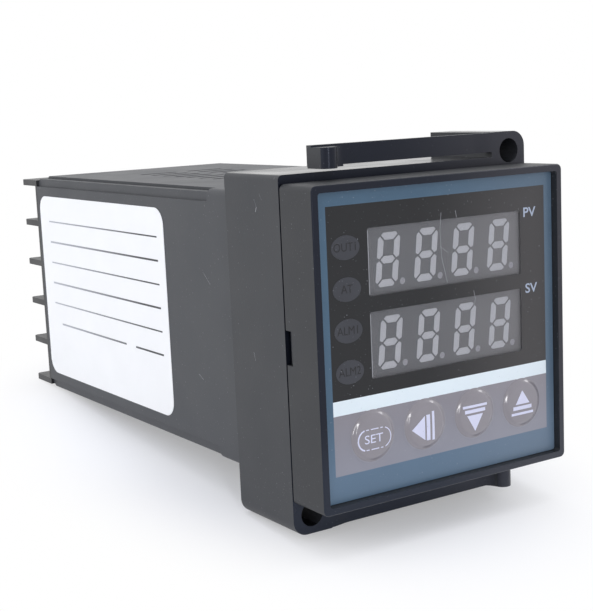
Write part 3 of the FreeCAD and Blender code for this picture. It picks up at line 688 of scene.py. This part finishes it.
joints = add(tree, "TexVoronoi", {}, {"Vector": where, "Scale": 1 / (JOINT_PITCH * MM)})
solder = add(tree, "MapRange", {},
             {"Value": joints.outputs["Distance"], "From Min": 0.17, "From Max": 0.13})
dotted = add(tree, "Mix", {"data_type": "RGBA"},
             {0: solder.outputs[0], 6: tracks.outputs[2], 7: linear("#b9bbb8")})
tree.links.new(dotted.outputs[2], shader.inputs["Base Color"])
print("board lacquer ready")

# %% [markdown]
# The transformer is a ferrite core with a taped winding, the capacitors are sleeved cans, and the
# varistor and the resistor are dipped in lacquer. Only the tape needs a pattern: its turns.

# %% Wound, sleeved and dipped parts
# Ferrite: dense dark grey ceramic. Tape: amber polyester in turns about 2.4 mm wide.
TAPE_TURN = 2.4
ferrite = surface("sintered ferrite", "#37383a", "#424346", 3, 0.25, 0.010, 0.62, 0.06)[0]
tape, tree, where, tone, shader = surface(
    "polyester tape", "#c99e2c", "#d6ac3a", 5, 0.50, 0.003, 0.26, 0.05)
turns = add(tree, "TexWave", {"bands_direction": "Z"},
            {"Vector": where, "Scale": WAVE_BAND / (TAPE_TURN * MM), "Distortion": 0.6})
edge = add(tree, "MapRange", {}, {"Value": turns.outputs["Fac"], "From Min": 0.0, "From Max": 0.12})
wound = add(tree, "Mix", {"data_type": "RGBA"}, {0: edge.outputs[0], 6: linear("#8f6d1c"), 7: tone})
tree.links.new(wound.outputs[2], shader.inputs["Base Color"])
# Shrink sleeve: thin dark blue film, drawn tight and shiny, with a pale printed stripe.
sleeve = surface("shrink sleeve", "#20263f", "#283050", 5, 0.40, 0.003, 0.30, 0.05)[0]
stripe = surface("sleeve stripe", "#b9bcc6", "#c6c9d2", 3, 0.40, 0.003, 0.32, 0.05)[0]
# Dipped epoxy: thick, uneven and glossy. Lacquer: a thinner coat with the same shine.
varistor_coat = surface("dipped epoxy", "#27519d", "#2f5cab", 4, 0.9, 0.030, 0.28, 0.05)[0]
resistor_coat = surface("lacquer", "#7199ae", "#7ea6ba", 3, 0.5, 0.010, 0.30, 0.05)[0]
print("electronics finishes ready")

# %% [markdown]
# ## Case and terminals
# The case is one deep box with a flange, long corner reliefs and two rows of vents above and below.
# The terminal block closes its rear, with barriers between the screws. All are exact already, so
# they are soft copies. The small numerals beside the screws count the terminals.

# %% Case, terminal block and terminals
# Each piece has its solid, a width of rounding in mm, a slot and a finish.
CASE_PARTS = {
    "case_shell": ("outer_case", 0.16, "case_plastic", case_abs),
    "terminal_barriers": ("rear_terminal_block", 0.14, "terminal_plastic", phenolic),
    "contact_plates": ("terminal_contacts", 0.06, "terminal_brass", brass),
    "clamp_plates": ("terminal_clamps", 0.12, "plated_steel", nickel),
    "clamp_screws": ("terminal_screws", 0.07, "plated_steel", nickel),
}
for name, (node, width, slot, material) in CASE_PARTS.items():
    soft_piece(name, node, width, "case", slot, material)

# %% Terminal numerals
CENTRE_FACE = 102.2
NUMERAL_X, NUMERAL_HEIGHT, TERMINAL_PITCH, ROWS = 8.8, 2.2, 8.4, 5
numerals = []
for count in range(2 * ROWS):
    side, row = divmod(count, ROWS)
    place = ((NUMERAL_X, -NUMERAL_X)[side], CENTRE_FACE + INK_DEPTH / 2,
             (ROWS // 2 - row) * TERMINAL_PITCH)
    numerals.append(lettering("numeral", str(count + 1), NUMERAL_HEIGHT, place, FACING_REAR))
laid_on("terminal_numerals", numerals, white_ink, "case", "label_paper")

# %% [markdown]
# The label is a white sticker with rounded corners and six ruled lines. The lines could be a
# pattern in the paper's colour, but thin strips of ink that lie on it stay crisp however close
# one looks.

# %% Label
soft_piece("label_sheet", "rating_label", 0.03, "case", "label_paper", label_paper)
label_low, label_high = box_mm("rating_label")
RULE_TOP, RULE_PITCH, RULE_COUNT = 5.1, 4.2, 6
RULE_FRONT, RULE_REAR = label_low.y + 2.6, label_high.y - 4.5
BROAD_HALF, FINE_HALF, RULE_SINK, RULE_DEPTH = 0.17, 0.13, 0.01, 0.03
# The last line is in two runs, and ends earlier than the others.
FIRST_RUN, SECOND_START, EARLY_END = 11, 15, 3
rules = []
for row in range(RULE_COUNT):
    z = label_high.z - RULE_TOP - row * RULE_PITCH
    half = BROAD_HALF if row % 2 else FINE_HALF
    runs = [(RULE_FRONT, RULE_REAR)]
    if row == RULE_COUNT - 1:
        runs = [(RULE_FRONT, RULE_FRONT + FIRST_RUN),
                (RULE_FRONT + SECOND_START, RULE_REAR - EARLY_END)]
    for start, end in runs:
        outline = [(label_low.x + RULE_SINK, y, z + v)
                   for y, v in ((start, -half), (end, -half), (end, half), (start, half))]
        rules.append(drawn("rule", outline, (-RULE_DEPTH, 0, 0)))
laid_on("label_rules", rules, rule_ink, "case", "label_paper")

# %% [markdown]
# ## Front frame and film
# The frame is textured at its sides and polished on the face that looks forward. The film is one
# sheet with several inks. Bisecting it along the ink borders gives each ink its own faces, which
# keeps the borders sharp in the render and in the mesh alike.

# %% Frame
bezel = soft_piece("front_frame", "front_bezel", 0.18, "chassis", "case_plastic",
                   shaded_frame_abs, shaded_polished_abs)
# Painted shade and painted reflection: the faces that look forward take the darker, navy polish.
paint(bezel, 1, looks_forward(0.35))

# %% Film with its inks
PRINT_LEFT, PRINT_RIGHT, PRINT_TOP = -20.95, 21.15, 20.8
DARK_BOTTOM, ICE_BOTTOM, MAUVE_BOTTOM = -7.57, -9.75, -18.8
BACK_FACING = 0.5
film = merged_copy("printed_film", "front_overlay")
for x in (PRINT_LEFT, PRINT_RIGHT):
    bpy.ops.mesh.select_all(action="SELECT")
    bpy.ops.mesh.bisect(plane_co=(x * MM, 0, 0), plane_no=(1, 0, 0))
for z in (PRINT_TOP, DARK_BOTTOM, ICE_BOTTOM, MAUVE_BOTTOM):
    bpy.ops.mesh.select_all(action="SELECT")
    bpy.ops.mesh.bisect(plane_co=(0, 0, z * MM), plane_no=(0, 0, 1))
leave()
dress(film, blue_print, dark_print, ice_print, mauve_print)
inks = {1: (DARK_BOTTOM, PRINT_TOP), 2: (ICE_BOTTOM, DARK_BOTTOM), 3: (MAUVE_BOTTOM, ICE_BOTTOM)}
for index, (low, high) in inks.items():
    paint(film, index, lambda middle, normal: (
        normal.y < BACK_FACING and PRINT_LEFT < middle.x < PRINT_RIGHT and low < middle.z < high))
finish(film, "chassis", "overlay_film", "front_overlay")

# %% [markdown]
# Four smoked ovals sit over the indicator lamps, and small pale letters name the two displays.
# They could be cut into the film as the large inks are, but small shapes would break its faces
# up, so they are thin layers of ink on the film.

# %% Ovals and letters
film_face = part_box("front_overlay")[0].y / MM
OVAL_X, OVAL_WIDTH, OVAL_HEIGHT, OVAL_SIDES = -17.7, 5.0, 3.55, 40
OVAL_TOP, OVAL_PITCH, OVAL_INK = 14.7, 6.08, 0.015
OVAL_WORD_HEIGHT, OVAL_WORD_NARROW, OVAL_WORD_LIFT = 1.25, 0.92, 0.02
LETTER_HEIGHT, LETTER_WIDEN, LETTER_BOLD = 1.48, 1.13, 0.025
ovals, oval_words = [], []
for row, word in enumerate(("OUT1", "AT", "ALM1", "ALM2")):
    z = OVAL_TOP - row * OVAL_PITCH
    outline = [(OVAL_X + OVAL_WIDTH / 2 * math.cos(a), film_face,
                z + OVAL_HEIGHT / 2 * math.sin(a))
               for a in [math.tau * i / OVAL_SIDES for i in range(OVAL_SIDES)]]
    ovals.append(drawn("oval", outline, (0, -OVAL_INK, 0)))
    place = (OVAL_X, film_face - OVAL_WORD_LIFT, z)
    oval_words.append(lettering("word", word, OVAL_WORD_HEIGHT, place, FACING_FRONT,
                                OVAL_WORD_NARROW))
laid_on("indicator_ovals", ovals, smoke_print, "chassis", "overlay_film")
laid_on("indicator_words", oval_words, faint_ink, "chassis", "overlay_film")
letters = [lettering("word", word, LETTER_HEIGHT, (x, film_face - INK_DEPTH / 2, z), FACING_FRONT,
                     LETTER_WIDEN, bold=LETTER_BOLD)
           for word, x, z in (("PV", 17.95, 16.7), ("SV", 18.15, 4.57))]
laid_on("display_letters", letters, pale_ink, "chassis", "overlay_film")

# %% [markdown]
# A film that has been wiped carries a few hair scratches, and the cut edge of each window catches
# a thin line of light. The case and the bracket are scratched where they were handled. All are
# drawn as very narrow outlines that lie on the surface, because noise can't be put in one place.

# %% Hair scratches and bright window edges
HAIR_LIFT, FILM_HAIR, EDGE_HIGHLIGHT_WIDTH, CASE_HAIR, BRACKET_HAIR = 0.006, 0.07, 0.13, 0.10, 0.13
EDGE_INSET, EDGE_SHORT = 0.08, 0.3
FORWARD, LEFTWARD = (0, -HAIR_LIFT, 0), (-HAIR_LIFT, 0, 0)


def hairline(name, points, width, lift, sideways):
    """A narrow band along points (mm), widened along one direction and lifted along another."""
    band = [Vector(place) for place in points]
    wide = Vector(sideways) * width
    outline = [place - wide / 2 for place in band] + [place + wide / 2 for place in reversed(band)]
    return drawn(name, outline, lift)


film_scratches_and_highlights = []
for run in ([(0.1, 18.2), (-0.2, 15.5), (0.0, 11.4), (1.0, 7.5)], [(2.9, 18.3), (3.1, 17.2)],
            [(6.2, 5.6), (6.5, 4.2), (6.1, 3.1)], [(1.3, 12.0), (-0.3, 13.2)]):
    film_scratches_and_highlights.append(hairline("scratch", [(x, film_face, z) for x, z in run], FILM_HAIR, FORWARD,
                               (1, 0, 0.3)))
# Painted highlight: a thin pale line along the left cut edge of each window.
for row in ("upper", "lower"):
    low, high = box_mm(row + "_display_window")
    edge_run = [(low.x + EDGE_INSET, film_face, z)
                for z in (low.z + EDGE_SHORT, high.z - EDGE_SHORT)]
    film_scratches_and_highlights.append(hairline("edge", edge_run, EDGE_HIGHLIGHT_WIDTH, FORWARD, (1, 0, 0)))
laid_on("film_hairlines_and_highlights", film_scratches_and_highlights, scratch_and_highlight_grey, "chassis", "overlay_film")
CASE_SIDE = -22.4
case_marks = [hairline("scratch", [(CASE_SIDE, y, z) for y, z in run], CASE_HAIR, LEFTWARD,
                       (0, 0.5, 0.9))
              for run in ([(27.0, 8.6), (25.4, 7.2), (24.9, 6.8)], [(30.5, -9.0), (29.0, -9.7)])]
laid_on("case_hairlines", case_marks, scratch_and_highlight_grey, "case", "case_plastic")
bracket_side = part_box("bracket_frame")[0].x / MM
bracket_marks = [hairline("scratch", [(bracket_side, y, z) for y, z in run], BRACKET_HAIR, LEFTWARD,
                          (0, 0.6, 0.8))
                 for run in ([(7.2, 21.6), (6.6, 20.4), (6.9, 19.7)], [(5.6, 22.4), (5.1, 21.5)],
                             [(9.4, -2.0), (9.0, -3.3)])]
laid_on("bracket_hairlines", bracket_marks, scratch_and_highlight_grey, "bracket", "case_plastic")

# %% [markdown]
# Behind each window lies a display with four digits, each of seven segments and a dot. Windows
# and displays are flat, so the solids only get a finish. The digits stand out of the face by a
# hair, so they are soft copies whose edges catch the light, and the dots get a darker resin as
# painted shade.

# %% Windows, displays and digits
DIGITS, DIGIT_PITCH, DOT_RADIUS, DOT_MARGIN = 4, 7.2, 0.52, 0.1
for row in ("upper", "lower"):
    dress(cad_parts[row + "_display_window"], clear_window)
    dress(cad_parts[row + "_display"], display_grey)
    digits = soft_piece(row + "_digits", row + "_digit_segments", 0.05, "chassis", "segment_resin",
                        milky_resin, shaded_dot_resin, segments=1)
    low, high = box_mm(row + "_digit_segments")
    dots = [(high.x - DOT_RADIUS - i * DIGIT_PITCH, low.z + DOT_RADIUS) for i in range(DIGITS)]
    # Painted shade: the dots take the darker resin.
    paint(digits, 1, lambda middle, normal: any(
        math.hypot(middle.x - x, middle.z - z) < DOT_RADIUS + DOT_MARGIN for x, z in dots))
dress(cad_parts["indicator_leds"], led_resin)
print("displays dressed")

# %% [markdown]
# ## Keys
# Each key is a dome embossed in clear film. Its profile is drawn once, from the crown out to the
# rim, and spun round the key's axis; half a sphere would be too round for film. When a key is
# pressed its rim stays with the film and its crown follows the finger; here the dome is left in
# place, and only the stem under it is put on the button.

# %% Shape of a dome
KEYS = ["set", "shift", "down", "up"]
key_boxes = {name: box_mm(name + "_key") for name in KEYS}
key_middle = {name: (low + high) / 2 for name, (low, high) in key_boxes.items()}
key_radius = (key_boxes["set"][1].x - key_boxes["set"][0].x) / 2
crown, stem_end = key_boxes["set"][0].y, key_boxes["set"][1].y
FLAT_RADIUS, FOOT_RADIUS, SKIRT, SKIN, CAMBER, RIM_GAP = 3.05, 4.05, 0.25, 0.012, 0.07, 0.002
STEM_RADIUS, DISC_THICK, STEM_GAP = 1.9, 0.4, 0.02
FINE_WELD, SPIN_STEPS = 0.001, 64


def dome_height(radius):
    """Height of the dome over the film: gently crowned, then a steeper round shoulder."""
    rise = film_face - crown
    if radius <= FLAT_RADIUS:
        return rise - CAMBER * (radius / FLAT_RADIUS) ** 2
    t = min(1, (radius - FLAT_RADIUS) / (FOOT_RADIUS - FLAT_RADIUS))
    return SKIN + (rise - CAMBER - SKIN) * (0.5 + 0.5 * math.cos(math.pi * t))


def spun(name, key, profile):
    """Draw half a section (radius, Y) in mm, and spin it round the key's axis."""
    x, z = key_middle[key].x, key_middle[key].z
    piece = drawn(name, [(x + r, y, z) for r, y in profile], (0, 0, 0))
    edit(piece)
    bpy.ops.mesh.remove_doubles(threshold=FINE_WELD * MM)
    bpy.ops.mesh.delete(type="ONLY_FACE")
    bpy.ops.mesh.select_all(action="SELECT")
    bpy.ops.mesh.spin(steps=SPIN_STEPS, angle=math.tau, center=(x * MM, 0, z * MM),
                      axis=(0, 1, 0))
    bpy.ops.mesh.select_all(action="SELECT")
    bpy.ops.mesh.remove_doubles(threshold=WELD * MM)
    bpy.ops.mesh.delete_loose()
    bpy.ops.mesh.select_all(action="SELECT")
    bpy.ops.mesh.normals_make_consistent(inside=False)
    leave()
    smooth(piece, 50)
    return piece


def flex(piece):
    """Bake the piece's place into its mesh."""
    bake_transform(piece)


print("keys of", round(2 * key_radius, 1), "mm, domes over the film by",
      round(film_face - crown, 2), "mm")

# %% Domes and stems
DOME_STEPS = 24
rim_radius = key_radius + SKIRT
dome_radii = [rim_radius * i / DOME_STEPS for i in range(DOME_STEPS + 1)]
dome_profile = [(radius, film_face - dome_height(radius)) for radius in dome_radii]
dome_profile += [(rim_radius, film_face - RIM_GAP), (0, film_face - RIM_GAP)]
disc_radius = key_radius - STEM_GAP
disc_front, disc_back = film_face + STEM_GAP, film_face + DISC_THICK
stem_profile = [(0, disc_front), (disc_radius, disc_front), (disc_radius, disc_back),
                (STEM_RADIUS, disc_back), (STEM_RADIUS, stem_end), (0, stem_end)]
domes = {}
for name in KEYS:
    stem = spun(name + "_stem", name, stem_profile)
    dress(stem, key_gloss)
    finish(stem, name + "_button", "key_film", name + "_key")
    domes[name] = spun(name + "_dome", name, dome_profile)
    edit(domes[name])
    bpy.ops.mesh.bisect(plane_co=(0, 0, ICE_BOTTOM * MM), plane_no=(0, 0, 1))
    leave()
    dress(domes[name], key_gloss, mauve_print, ice_print)
    paint(domes[name], 1, lambda middle, normal: math.hypot(
        middle.x - key_middle[name].x, middle.z - key_middle[name].z) > FOOT_RADIUS)
    paint(domes[name], 2, lambda middle, normal: middle.z > ICE_BOTTOM)
    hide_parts(name + "_key")
    flex(domes[name])
    print("made", domes[name].name, "with", len(domes[name].data.polygons), "faces")

# %% [markdown]
# The symbols are printed on the domes. A flat shape would float over the shoulder or sink into
# the crown, so each shape is cut fine enough to bend, wrapped onto the dome and given the
# thickness of ink.

# %% Inking a dome
INK_START, INK_LIFT, INK_CUTS = 1.0, 0.012, 4


def wrap(symbol, dome):
    apply_modifier(symbol, "SHRINKWRAP", target=dome, wrap_method="PROJECT", use_project_y=True,
                   use_positive_direction=True, use_negative_direction=True,
                   wrap_mode="OUTSIDE_SURFACE", offset=INK_LIFT * MM)


def inked(name, key, shapes):
    """Flat shapes in mm about the key's middle, wrapped onto its dome as a thin layer of ink."""
    middle = key_middle[key]
    pieces = []
    for shape in shapes:
        outline = [(middle.x + u, crown - INK_START, middle.z + v) for u, v in shape]
        piece = drawn("shape", outline, (0, 0, 0))
        edit(piece)
        bpy.ops.mesh.remove_doubles(threshold=FINE_WELD * MM)
        bpy.ops.mesh.subdivide(number_cuts=INK_CUTS)
        leave()
        pieces.append(piece)
    symbol = join(name, pieces)
    wrap(symbol, domes[key])
    return symbol


def bar(u0, u1, v0, v1):
    return [(u0, v0), (u1, v0), (u1, v1), (u0, v1)]


def arc(middle, radius, width, start, end, steps=8):
    """A stretch of a ring as short quads, with angles in degrees."""
    quads = []
    for i in range(steps):
        a, b = [math.radians(start + (end - start) * k / steps) for k in (i, i + 1)]
        corners = ((radius, a), (radius + width, a), (radius + width, b), (radius, b))
        quads.append([(middle[0] + r * math.cos(t), middle[1] + r * math.sin(t))
                      for r, t in corners])
    return quads


print("inking helpers ready")

# %% Symbols
SET_V, SET_END, SET_RADIUS, LINE, BOLD_LINE = -0.4, 1.45, 1.45, 0.15, 0.24
SET_WORD_U, SET_WORD_HEIGHT, SET_WORD_WIDEN = -0.2, 1.3, 1.2
set_shapes = arc((-SET_END, SET_V), SET_RADIUS, BOLD_LINE, 105, 255)
set_shapes += arc((SET_END, SET_V), SET_RADIUS, LINE, -72, 72)
for edge_v in (SET_V + SET_RADIUS, SET_V - SET_RADIUS - LINE):
    for u0, u1 in ((-1.6, -1.05), (-0.7, 0.7), (1.05, 1.5)):
        set_shapes.append(bar(u0, u1, edge_v, edge_v + LINE))
symbols = {
    "set": set_shapes,
    "shift": [[(-2.9, -0.5), (-0.4, -2.4), (-0.4, 1.4)],
              bar(-0.1, 0.6, -2.5, 1.5), bar(1.0, 1.45, -2.6, 1.9)],
    "down": [bar(-2.7, 2.2, 1.05, 1.45), bar(-2.3, 1.8, 0.2, 0.75),
             [(-1.9, -0.15), (-0.3, -2.75), (1.3, -0.15)]],
    "up": [[(-1.65, -0.1), (1.3, -0.1), (-0.2, 2.1)],
           bar(-2.15, 1.75, -1.0, -0.4), bar(-2.5, 2.1, -1.85, -1.45)],
}
for name, shapes in symbols.items():
    symbol = inked(name + "_symbol", name, shapes)
    if name == "set":
        place = (key_middle["set"].x + SET_WORD_U, crown - INK_START, key_middle["set"].z + SET_V)
        word = lettering("word", "SET", SET_WORD_HEIGHT, place, FACING_FRONT, SET_WORD_WIDEN, 0.0)
        wrap(word, domes["set"])
        symbol = join("set_symbol", [symbol, word])
    edit(symbol)
    bpy.ops.mesh.normals_make_consistent(inside=False)
    pick(symbol, "FACE", lambda face: face.normal.y > 0)
    bpy.ops.mesh.flip_normals()
    leave()
    apply_modifier(symbol, "SOLIDIFY", thickness=INK_DEPTH * MM, offset=0.0)
    dress(symbol, lilac_ink)
    flex(symbol)
    dress(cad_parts[name + "_key_plunger"], red_nylon)
    print("inked", symbol.name, "with", len(symbol.data.polygons), "faces")

# %% [markdown]
# ## Mounting bracket
# The bracket is a short sleeve with a boss at two opposite corners. It is one moulding with three
# surfaces: grained outside, polished in front, and rubbed smooth above and below. The polished
# front and the smooth top and underside are also painted darker, as painted shade. Painting the
# faces of one soft copy by the way they look is enough for that.

# %% Bracket sleeve
LEVEL_FACING = 0.9
sleeve_frame = soft_piece("bracket_sleeve", "bracket_frame", 0.16, "bracket", "case_plastic",
                          shaded_bracket_abs, shaded_polished_abs, shaded_satin_abs)
# Painted shade: forward faces take the darker polish, faces looking up or down the darker satin.
paint(sleeve_frame, 1, looks_forward(0.6))
paint(sleeve_frame, 2, lambda middle, normal: abs(normal.z) > LEVEL_FACING)

# %% [markdown]
# A springy arm leaves each boss and ends in a round nose that presses on the panel. A hinge would
# be easy, but the arm is moulded in one with the boss. It is drawn with many steps along its
# length, because a mesh bends only where it has edges.

# %% Outline of an arm
ARM_FRONT, ARM_BACK, BOSS_FACE, BOSS_SIDE = 0.8, 2.0, 0.3, 17.0
ARM_BOTTOM, ARM_TOP, NOSE_BOTTOM, NOSE_TOP = 26.1, 29.2, 25.8, 28.9
NOSE_END, NOSE_RADIUS, NOSE_FRONT, NOSE_SINK, FILLET = -17.7, 1.4, -2.8, 0.1, 3.0
FLARE_START, FLARE_OVERLAP, FLARE_GAP = 13.4, 0.4, 0.02
LEAF_STEPS, FLARE_STEPS, NOSE_STEPS, FILLET_STEPS = 16, 10, 16, 10
nose_middle = (NOSE_END + NOSE_RADIUS, NOSE_FRONT + NOSE_RADIUS)
fillet_y = ARM_FRONT - FILLET
fillet_x = nose_middle[0] + math.sqrt((NOSE_RADIUS + FILLET) ** 2
                                      - (nose_middle[1] - fillet_y) ** 2)
touch = math.degrees(math.atan2(fillet_y - nose_middle[1], fillet_x - nose_middle[0]))


def curve(middle, radius, start, end, steps):
    angles = [math.radians(start + (end - start) * i / steps) for i in range(steps + 1)]
    return [(middle[0] + radius * math.cos(a), middle[1] + radius * math.sin(a)) for a in angles]


leaf_steps = [NOSE_END + (FLARE_START - NOSE_END) * i / LEAF_STEPS for i in range(LEAF_STEPS + 1)]
flare_length = BOSS_SIDE + FLARE_OVERLAP - FLARE_START
flare = [FLARE_START + flare_length * i / FLARE_STEPS for i in range(1, FLARE_STEPS + 1)]
ease = [min(1, (x - FLARE_START) / (BOSS_SIDE - FLARE_START)) for x in flare]
flare_rise = ARM_FRONT - BOSS_FACE - FLARE_GAP
leaf_plan = [(x, ARM_FRONT) for x in leaf_steps]
leaf_plan += [(x, ARM_FRONT - flare_rise * t * t * (3 - 2 * t)) for x, t in zip(flare, ease)]
leaf_plan += [(x, ARM_BACK) for x in reversed(leaf_steps + flare)]
nose_plan = [(NOSE_END, ARM_BACK - NOSE_SINK)]
nose_plan += curve(nose_middle, NOSE_RADIUS, -180, touch, NOSE_STEPS)
nose_plan += curve((fillet_x, fillet_y), FILLET, touch + 180, 90, FILLET_STEPS)[1:]
nose_plan += [(fillet_x, ARM_BACK - NOSE_SINK)]
print("arm of", round(BOSS_SIDE - NOSE_END, 1), "mm with", len(leaf_plan), "corners")


def spring_arm(name):
    leaf = drawn(name, [(x, y, ARM_BOTTOM) for x, y in leaf_plan], (0, 0, ARM_TOP - ARM_BOTTOM))
    nose = drawn("nose", [(x, y, NOSE_BOTTOM) for x, y in nose_plan],
                 (0, 0, NOSE_TOP - NOSE_BOTTOM))
    apply_modifier(leaf, "BOOLEAN", operation="UNION", object=nose, solver="EXACT")
    bpy.data.objects.remove(nose)
    bevel(leaf, 0.14, 2, 50)
    dress(leaf, shaded_bracket_abs, shaded_polished_abs)
    # Painted shade and painted reflection: the faces that look forward take the darker, navy
    # polish.
    paint(leaf, 1, looks_forward(0.25))
    return leaf


for name, turn in (("upper", 0), ("lower", 180)):
    arm = spring_arm(name + "_arm_leaf")
    only(arm)
    arm.rotation_euler = (0, math.radians(turn), 0)
    bpy.ops.object.transform_apply(location=True, rotation=True, scale=True)
    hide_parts(name + "_spring_arm")
    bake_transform(arm)
    print("made", arm.name, "with", len(arm.data.polygons), "faces")

# %% [markdown]
# ## Inside
# Two long boards carry the supply on one side and the relays on the other. They show only when
# the chassis is out, so their parts are soft copies, each with its own width of rounding, and
# only the capacitors and the chips get a little more.

# %% Boards and plain parts
for name in ("display_board", "logic_board", "power_board"):
    dress(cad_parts[name], board_green)
# Each part has a width of rounding in mm, a slot and a finish.
SOFT_PARTS = {
    "board_headers": (0.15, "header_plastic", black_nylon),
    "key_switches": (0.25, "header_plastic", black_nylon),
    "transformer_core": (0.3, "ferrite", ferrite),
    "transformer_winding": (0.9, "winding_tape", tape),
    "surge_varistor": (0.4, "varistor_coat", varistor_coat),
    "fuse_resistor": (0.5, "resistor_coat", resistor_coat),
    "bridge_rectifier": (0.25, "chip_epoxy", chip_epoxy),
    "switching_regulator": (0.25, "chip_epoxy", chip_epoxy),
    "output_relay": (0.7, "relay_case", relay_blue),
    "alarm_relay": (0.6, "relay_case", relay_blue),
    "processor_chip": (0.12, "chip_epoxy", chip_epoxy),
    "sensor_amplifier": (0.12, "chip_epoxy", chip_epoxy),
    "signal_couplers": (0.2, "chip_epoxy", chip_epoxy),
    "clock_crystal": (1.0, "crystal_can", drawn_can),
}
for node, (width, slot, material) in SOFT_PARTS.items():
    soft_piece("soft_" + node, node, width, "chassis", slot, material, segments=3)

# %% [markdown]
# A capacitor is an aluminium can in a tight sleeve that leaves its top bare, with a pale stripe
# down one side. A second sleeve could be modelled, but the faces that are bare or striped are
# easily told by their place and the way they look.

# %% Capacitors
BARE_TOP, STRIPE_FACING = 0.05, 0.85
for node in ("filter_capacitor", "output_capacitors"):
    top = box_mm(node)[1].x
    cans = soft_piece("soft_" + node, node, 0.2, "chassis", "capacitor_sleeve",
                      sleeve, drawn_can, stripe)
    paint(cans, 1, lambda middle, normal: middle.x > top - BARE_TOP)
    paint(cans, 2, lambda middle, normal: normal.z > STRIPE_FACING)

# %% [markdown]
# A flat chip stands on gull-wing legs: out of the body, down, and flat on the board. The first
# leg of each side is drawn in profile and pushed to its width, and the others are copies of it.

# %% Legs of the chips
LEG_WIDTH, LEG_REACH, LEG_RISE, LEG_THICK = 0.34, 0.9, 0.9, 0.14
SHOULDER, HEEL, INNER_SHOULDER, INNER_HEEL = 0.35, 0.55, 0.25, 0.45
END_GAPS = 0.5  # gaps at the ends of a side, in pitches


def shift_along(axis, length):
    shift = [0, 0, 0]
    shift[axis] = length
    return shift


def legs(low, high, counts):
    """Gull-wing legs along the sides of a flat chip: counts across Y sides and across Z sides."""
    board = high.x if high.x > 0 else low.x
    inward = -1 if board > 0 else 1
    rise, foot = board + inward * LEG_RISE, board + inward * LEG_THICK
    under = rise - inward * LEG_THICK
    shape = [(rise, 0), (rise, SHOULDER), (foot, HEEL), (foot, LEG_REACH), (board, LEG_REACH),
             (board, INNER_HEEL), (under, INNER_SHOULDER), (under, 0)]
    made = []
    for axis, count in counts.items():
        across = 2 if axis == 1 else 1
        pitch = (high[across] - low[across]) / (count + END_GAPS)
        place = (low[across] + high[across]) / 2 - (count - 1) / 2 * pitch - LEG_WIDTH / 2
        for end, out in ((low[axis], -1), (high[axis], 1)):
            outline = []
            for x, reach in shape:
                corner = [x, 0, 0]
                corner[axis], corner[across] = end + out * reach, place
                outline.append(corner)
            first = drawn("leg", outline, shift_along(across, LEG_WIDTH))
            made.append(first)
            made += [moved_copy(first, shift_along(across, i * pitch)) for i in range(1, count)]
    return made


chip_legs = []
for node, counts in (("processor_chip", {1: 9, 2: 9}), ("sensor_amplifier", {2: 7})):
    low, high = box_mm(node)
    chip_legs += legs(low, high, counts)
laid_on("chip_legs", chip_legs, tinned, "chassis", "crystal_can")
